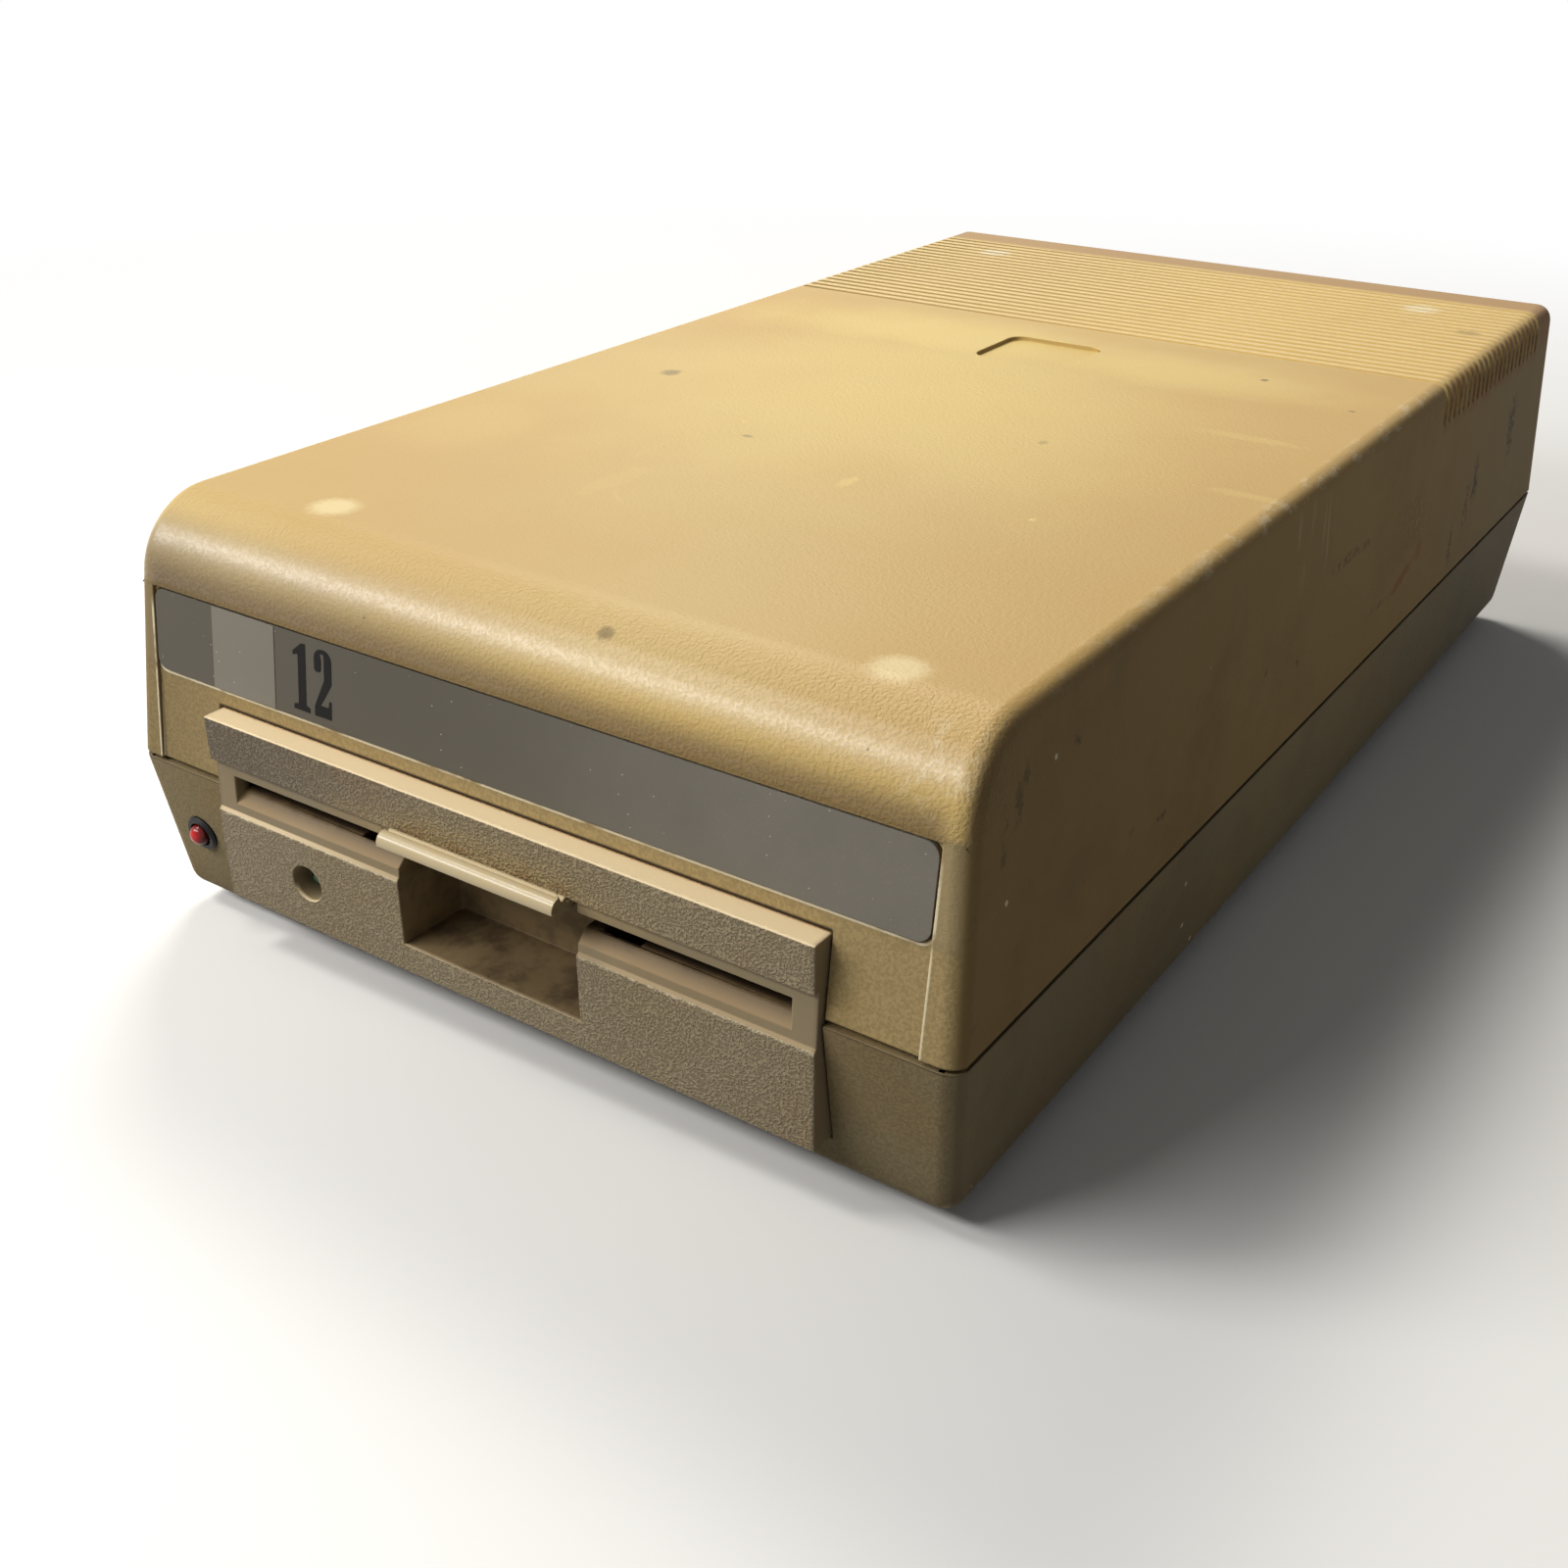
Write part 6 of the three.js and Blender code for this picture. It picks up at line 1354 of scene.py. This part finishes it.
def ink_finish():
    """Black print with small worn flecks."""
    p = Paint("Number ink")
    worn = p.clouds(0.6, 0.75, 0.9, 4.0, 0.75)
    p.base = p.mix(shade("#0b0a08"), shade("#6a655b"), worn * 0.5)
    return p.finish(0.75 + worn * 0.1, gloss=0.2)


def collar_finish():
    p = Paint("Black collar")
    worn = p.clouds(0.5, 0.8, 2.5, 3.0)
    p.base = p.mix(shade("#151417"), shade("#3a352f"), worn * 0.3)
    return p.finish(0.45 + worn * 0.2, p.noise(1.0), 0.01, gloss=0.2)


def lens_finish(name, bright, deep, lens):
    """Clear tinted dome, with painted shade that darkens it towards its rim."""
    p = Paint(name)
    # Painted shade: darker towards the rim.
    rim = p.smooth(p.away(p.x, p.z, (lens.x, lens.z)), lens.radius * 0.3, lens.radius)
    p.base = p.mix(shade(bright), shade(deep), rim)
    return p.finish(0.2 + p.noise(1.5, 2.0) * 0.06, coat=0.22, coat_roughness=0.1, gloss=0.2)


def rubber_finish():
    p = Paint("Black rubber")
    dusty = p.clouds(0.45, 0.75, 3, 4.0, 0.65)
    p.base = p.mix(shade("#1d1c1b"), shade("#5f5a50"), dusty * 0.35)
    return p.finish(0.75 + dusty * 0.15, p.noise(0.5, 3.0), 0.03)


def socket_finish(name, x=None):
    """Black plastic, with bright contacts in a socket whose middle is at x."""
    p = Paint(name.replace("_", " "))
    p.base = p.mix(shade("#17171a"), shade("#3b3a38"), p.clouds(0.5, 0.8, 4, 3.0) * 0.4)
    metal = 0.0
    if x is not None:
        k = SOCKET
        floor = k.face - k.cavity
        ring = p.within(p.away(p.x, p.z, (x, k.level)), k.circle - 1.0, k.circle + 1.0, 0.1)
        metal = ring * p.smooth(p.y, floor + 0.4, floor + 0.6)
        p.tint(shade("#c9c2ae"), metal)
    return p.finish(0.38 + p.noise(2, 3.0) * 0.15, p.noise(0.6, 3.0), 0.02, metal)


def moulded(name, code, worn_code, roughness, size=0.8):
    """Moulded plastic or lacquer: fine grain, and worn or dusty clouds."""
    p = Paint(name)
    worn = p.clouds(0.45, 0.75, 9, 4.0, 0.6)
    p.base = p.mix(shade(code), shade(worn_code), worn * 0.5)
    return p.finish(roughness + worn * 0.12, p.noise(size, 3.0), 0.03)


def metal(name, code, dull_code, roughness, stretch=None):
    """Bare metal with drawn lines or cast grain, and dull clouds."""
    p = Paint(name)
    lines = p.noise(0.8, 3.0, 0.6, stretch)
    dull = p.clouds(0.4, 0.7, 11, 4.0, 0.6)
    p.base = p.mix(shade(code), shade(dull_code), dull * 0.6)
    return p.finish(roughness + lines * 0.15 + dull * 0.1, lines, 0.02, 1.0)


# A stretch of noise along X, for metal with drawn lines.
DRAWN = (0.12, 1.0, 1.0)

# The finish of each slot that is seen on the model's own nodes, with the values its maker takes.
INSIDE_FINISHES = {
    "black_plastic": (moulded, "Black plastic", "#1c1c1f", "#44423e", 0.42),
    "black_rubber": (moulded, "Belt rubber", "#1a1918", "#3f3c37", 0.8, 0.4),
    "cast_alloy": (metal, "Cast alloy", "#a9abab", "#7f8080", 0.5),
    "black_alloy": (metal, "Black alloy", "#2a2a2c", "#45454a", 0.45, DRAWN),
    "sheet_steel": (metal, "Plated sheet", "#c3c0b6", "#8f8a7b", 0.32, DRAWN),
    "steel": (metal, "Ground steel", "#cfd1d3", "#a0a2a4", 0.22, DRAWN),
    "dark_steel": (metal, "Dark steel", "#5b5c60", "#3c3d40", 0.4, DRAWN),
    "brass": (metal, "Machined brass", "#c2a055", "#8a6f38", 0.28, DRAWN),
    "board_laminate": (moulded, "Board lacquer", "#2f5a35", "#24462a", 0.35, 1.5),
    "felt": (moulded, "Pressed felt", "#d8d2c2", "#aaa391", 0.95, 0.3),
    "coil": (moulded, "Amber tape", "#c08a2e", "#8f6520", 0.45, 1.2),
    "capacitor_sleeve": (moulded, "Blue sleeve", "#25406e", "#1b2f52", 0.3),
    "lead_jacket": (moulded, "Grey jacket", "#6d6d70", "#4f4f52", 0.65),
}


class DRIVE_OT_carried_nodes(bpy.types.Operator):
    """Give each node of the model that no other piece stands for its finish"""

    bl_idname = "drive.carried_nodes"
    bl_label = "Carried Nodes"

    def execute(self, context):
        made = {slot: finish(*given) for slot, (finish, *given) in INSIDE_FINISHES.items()}
        for entry in frame["record"]["subparts"]:
            slot, node = entry["material_slot"], frame["nodes"][entry["node"]]
            if slot in made:
                node.data.materials.clear()
                node.data.materials.append(made[slot])
        return {"FINISHED"}


# Stage

EYE = (0.203692, -0.404033, 0.218230)
EYE_ANGLES = (64.269, -0.1035, 36.1705)
FOCAL_LENGTH = 42.19
VIEW_SHIFT = (0.0760, -0.0362)
AMBIENT = 0.115
FLOOR_RADIUS = 6
FLOOR_FADE = (0.25, 0.85)
FLOOR_LIT = (0.30, 0.30, 0.30)
FLOOR_SEEN = (0.93, 0.93, 0.93)
LAMPS = [
    ("Window", (-0.75, -0.58, 1.40), (0, -0.03, 0.06), (0.4, 0.4), 8.2, (1.0, 0.97, 0.90), 0),
    ("Side strip", (-0.35, -0.60, 0.46), (0, -0.17, 0.09), (0.62, 0.14), 3.85, (1.0, 0.98, 0.95), 28),
    ("Rear window", (-0.60, 0.62, 1.05), (0, 0.10, 0.09), (0.5, 0.4), 9.8, (1.0, 0.96, 0.88), 0),
]


def area_light(name, place, target, size, power, tone, roll):
    """A lamp that is hidden from the camera and turned by roll degrees about the line to its target."""
    lamp = bpy.data.lights.new(name, "AREA")
    lamp.shape = "RECTANGLE"
    lamp.size, lamp.size_y = size
    lamp.energy = power
    lamp.color = tone
    lit = link(name, lamp)
    lit.visible_camera = False
    lit.location = place
    aim = (Vector(target) - Vector(place)).to_track_quat("-Z", "Y").to_matrix()
    lit.rotation_euler = (aim @ Matrix.Rotation(math.radians(roll), 3, "Z")).to_euler()


class DRIVE_OT_stage(bpy.types.Operator):
    """Set the camera, the lamps, the world and a pale floor"""

    bl_idname = "drive.stage"
    bl_label = "Stage"

    def execute(self, context):
        scene = context.scene
        scene.view_settings.view_transform = "Standard"
        camera = bpy.data.cameras.new("Camera")
        camera.sensor_width = 36
        camera.lens = FOCAL_LENGTH
        camera.shift_x, camera.shift_y = VIEW_SHIFT
        camera.clip_start = 0.02
        seen_from = link("Camera", camera)
        seen_from.location = EYE
        seen_from.rotation_euler = Euler([math.radians(a) for a in EYE_ANGLES])
        scene.camera = seen_from
        for lamp in LAMPS:
            area_light(*lamp)
        self.world(scene)
        self.floor()
        return {"FINISHED"}

    def seen_directly(self, made):
        """1 for camera, glossy and transmitted rays, which show the background."""
        path = made.node("ShaderNodeLightPath").outputs
        return made.most(path["Is Camera Ray"], path["Is Glossy Ray"], path["Is Transmission Ray"])

    def world(self, scene):
        world = bpy.data.worlds.new("World")
        world.use_nodes = True
        scene.world = world
        made = Nodes(world.node_tree)
        world.node_tree.nodes.clear()
        strength = made.node("ShaderNodeMapRange", inputs={
            "Value": self.seen_directly(made), "To Min": AMBIENT, "To Max": 1.0})
        shader = made.node("ShaderNodeBackground", inputs={
            "Color": (1, 1, 1, 1), "Strength": strength.outputs[0]})
        made.node("ShaderNodeOutputWorld", inputs={"Surface": shader.outputs[0]})

    def floor(self):
        bm = bmesh.new()
        bmesh.ops.create_circle(bm, cap_ends=True, segments=96, radius=FLOOR_RADIUS)
        floor = piece_of("floor", bm)
        material = bpy.data.materials.new("Pale floor")
        material.use_nodes = True
        material.node_tree.nodes.clear()
        made = Nodes(material.node_tree)
        place = made.node("ShaderNodeTexCoord").outputs["Object"]
        away = made.node("ShaderNodeVectorMath", {"operation": "LENGTH"}, {0: place})
        fade = made.node("ShaderNodeMapRange", {"interpolation_type": "SMOOTHSTEP"}, {
            "Value": away.outputs["Value"], "From Min": FLOOR_FADE[0], "From Max": FLOOR_FADE[1]})
        seen_directly = self.seen_directly(made)
        tone = made.mix(FLOOR_LIT, FLOOR_SEEN, seen_directly)
        matt = made.node("ShaderNodeBsdfDiffuse", inputs={"Color": tone})
        glow = made.node("ShaderNodeEmission", inputs={"Color": (1, 1, 1, 1), "Strength": 1.0})
        both = made.node("ShaderNodeMixShader", inputs={
            0: seen_directly * fade.outputs[0], 1: matt.outputs[0], 2: glow.outputs[0]})
        made.node("ShaderNodeOutputMaterial", inputs={"Surface": both.outputs[0]})
        floor.data.materials.append(material)


OPERATORS = (
    DRIVE_OT_stage, DRIVE_OT_carried_nodes, DRIVE_OT_top_cover, DRIVE_OT_bottom_cover, DRIVE_OT_fascia,
    DRIVE_OT_gate_lever, DRIVE_OT_nameplate, DRIVE_OT_lights, DRIVE_OT_feet, DRIVE_OT_rear_sockets,
)


class DRIVE_PT_sidebar(bpy.types.Panel):
    """Sizes, colours and pieces of the disk drive"""

    bl_idname = "DRIVE_PT_sidebar"
    bl_label = "Disk Drive"
    bl_space_type = "VIEW_3D"
    bl_region_type = "UI"
    bl_category = "Disk Drive"

    def draw(self, context):
        for group in (context.scene.drive_sizes, context.scene.drive_colours):
            column = self.layout.column(align=True)
            for name in group.__annotations__:
                column.prop(group, name)
        for operator in OPERATORS:
            self.layout.operator(operator.bl_idname)


CLASSES = (DriveSizes, DriveColours, *OPERATORS, DRIVE_PT_sidebar)


def register():
    for made in CLASSES:
        bpy.utils.register_class(made)
    bpy.types.Scene.drive_sizes = PointerProperty(type=DriveSizes)
    bpy.types.Scene.drive_colours = PointerProperty(type=DriveColours)


def unregister():
    del bpy.types.Scene.drive_colours
    del bpy.types.Scene.drive_sizes
    for made in reversed(CLASSES):
        bpy.utils.unregister_class(made)


def main():
    register()
    for operator in OPERATORS:
        getattr(bpy.ops.drive, operator.bl_idname.split(".")[1])()


if __name__ == "__main__":
    main()
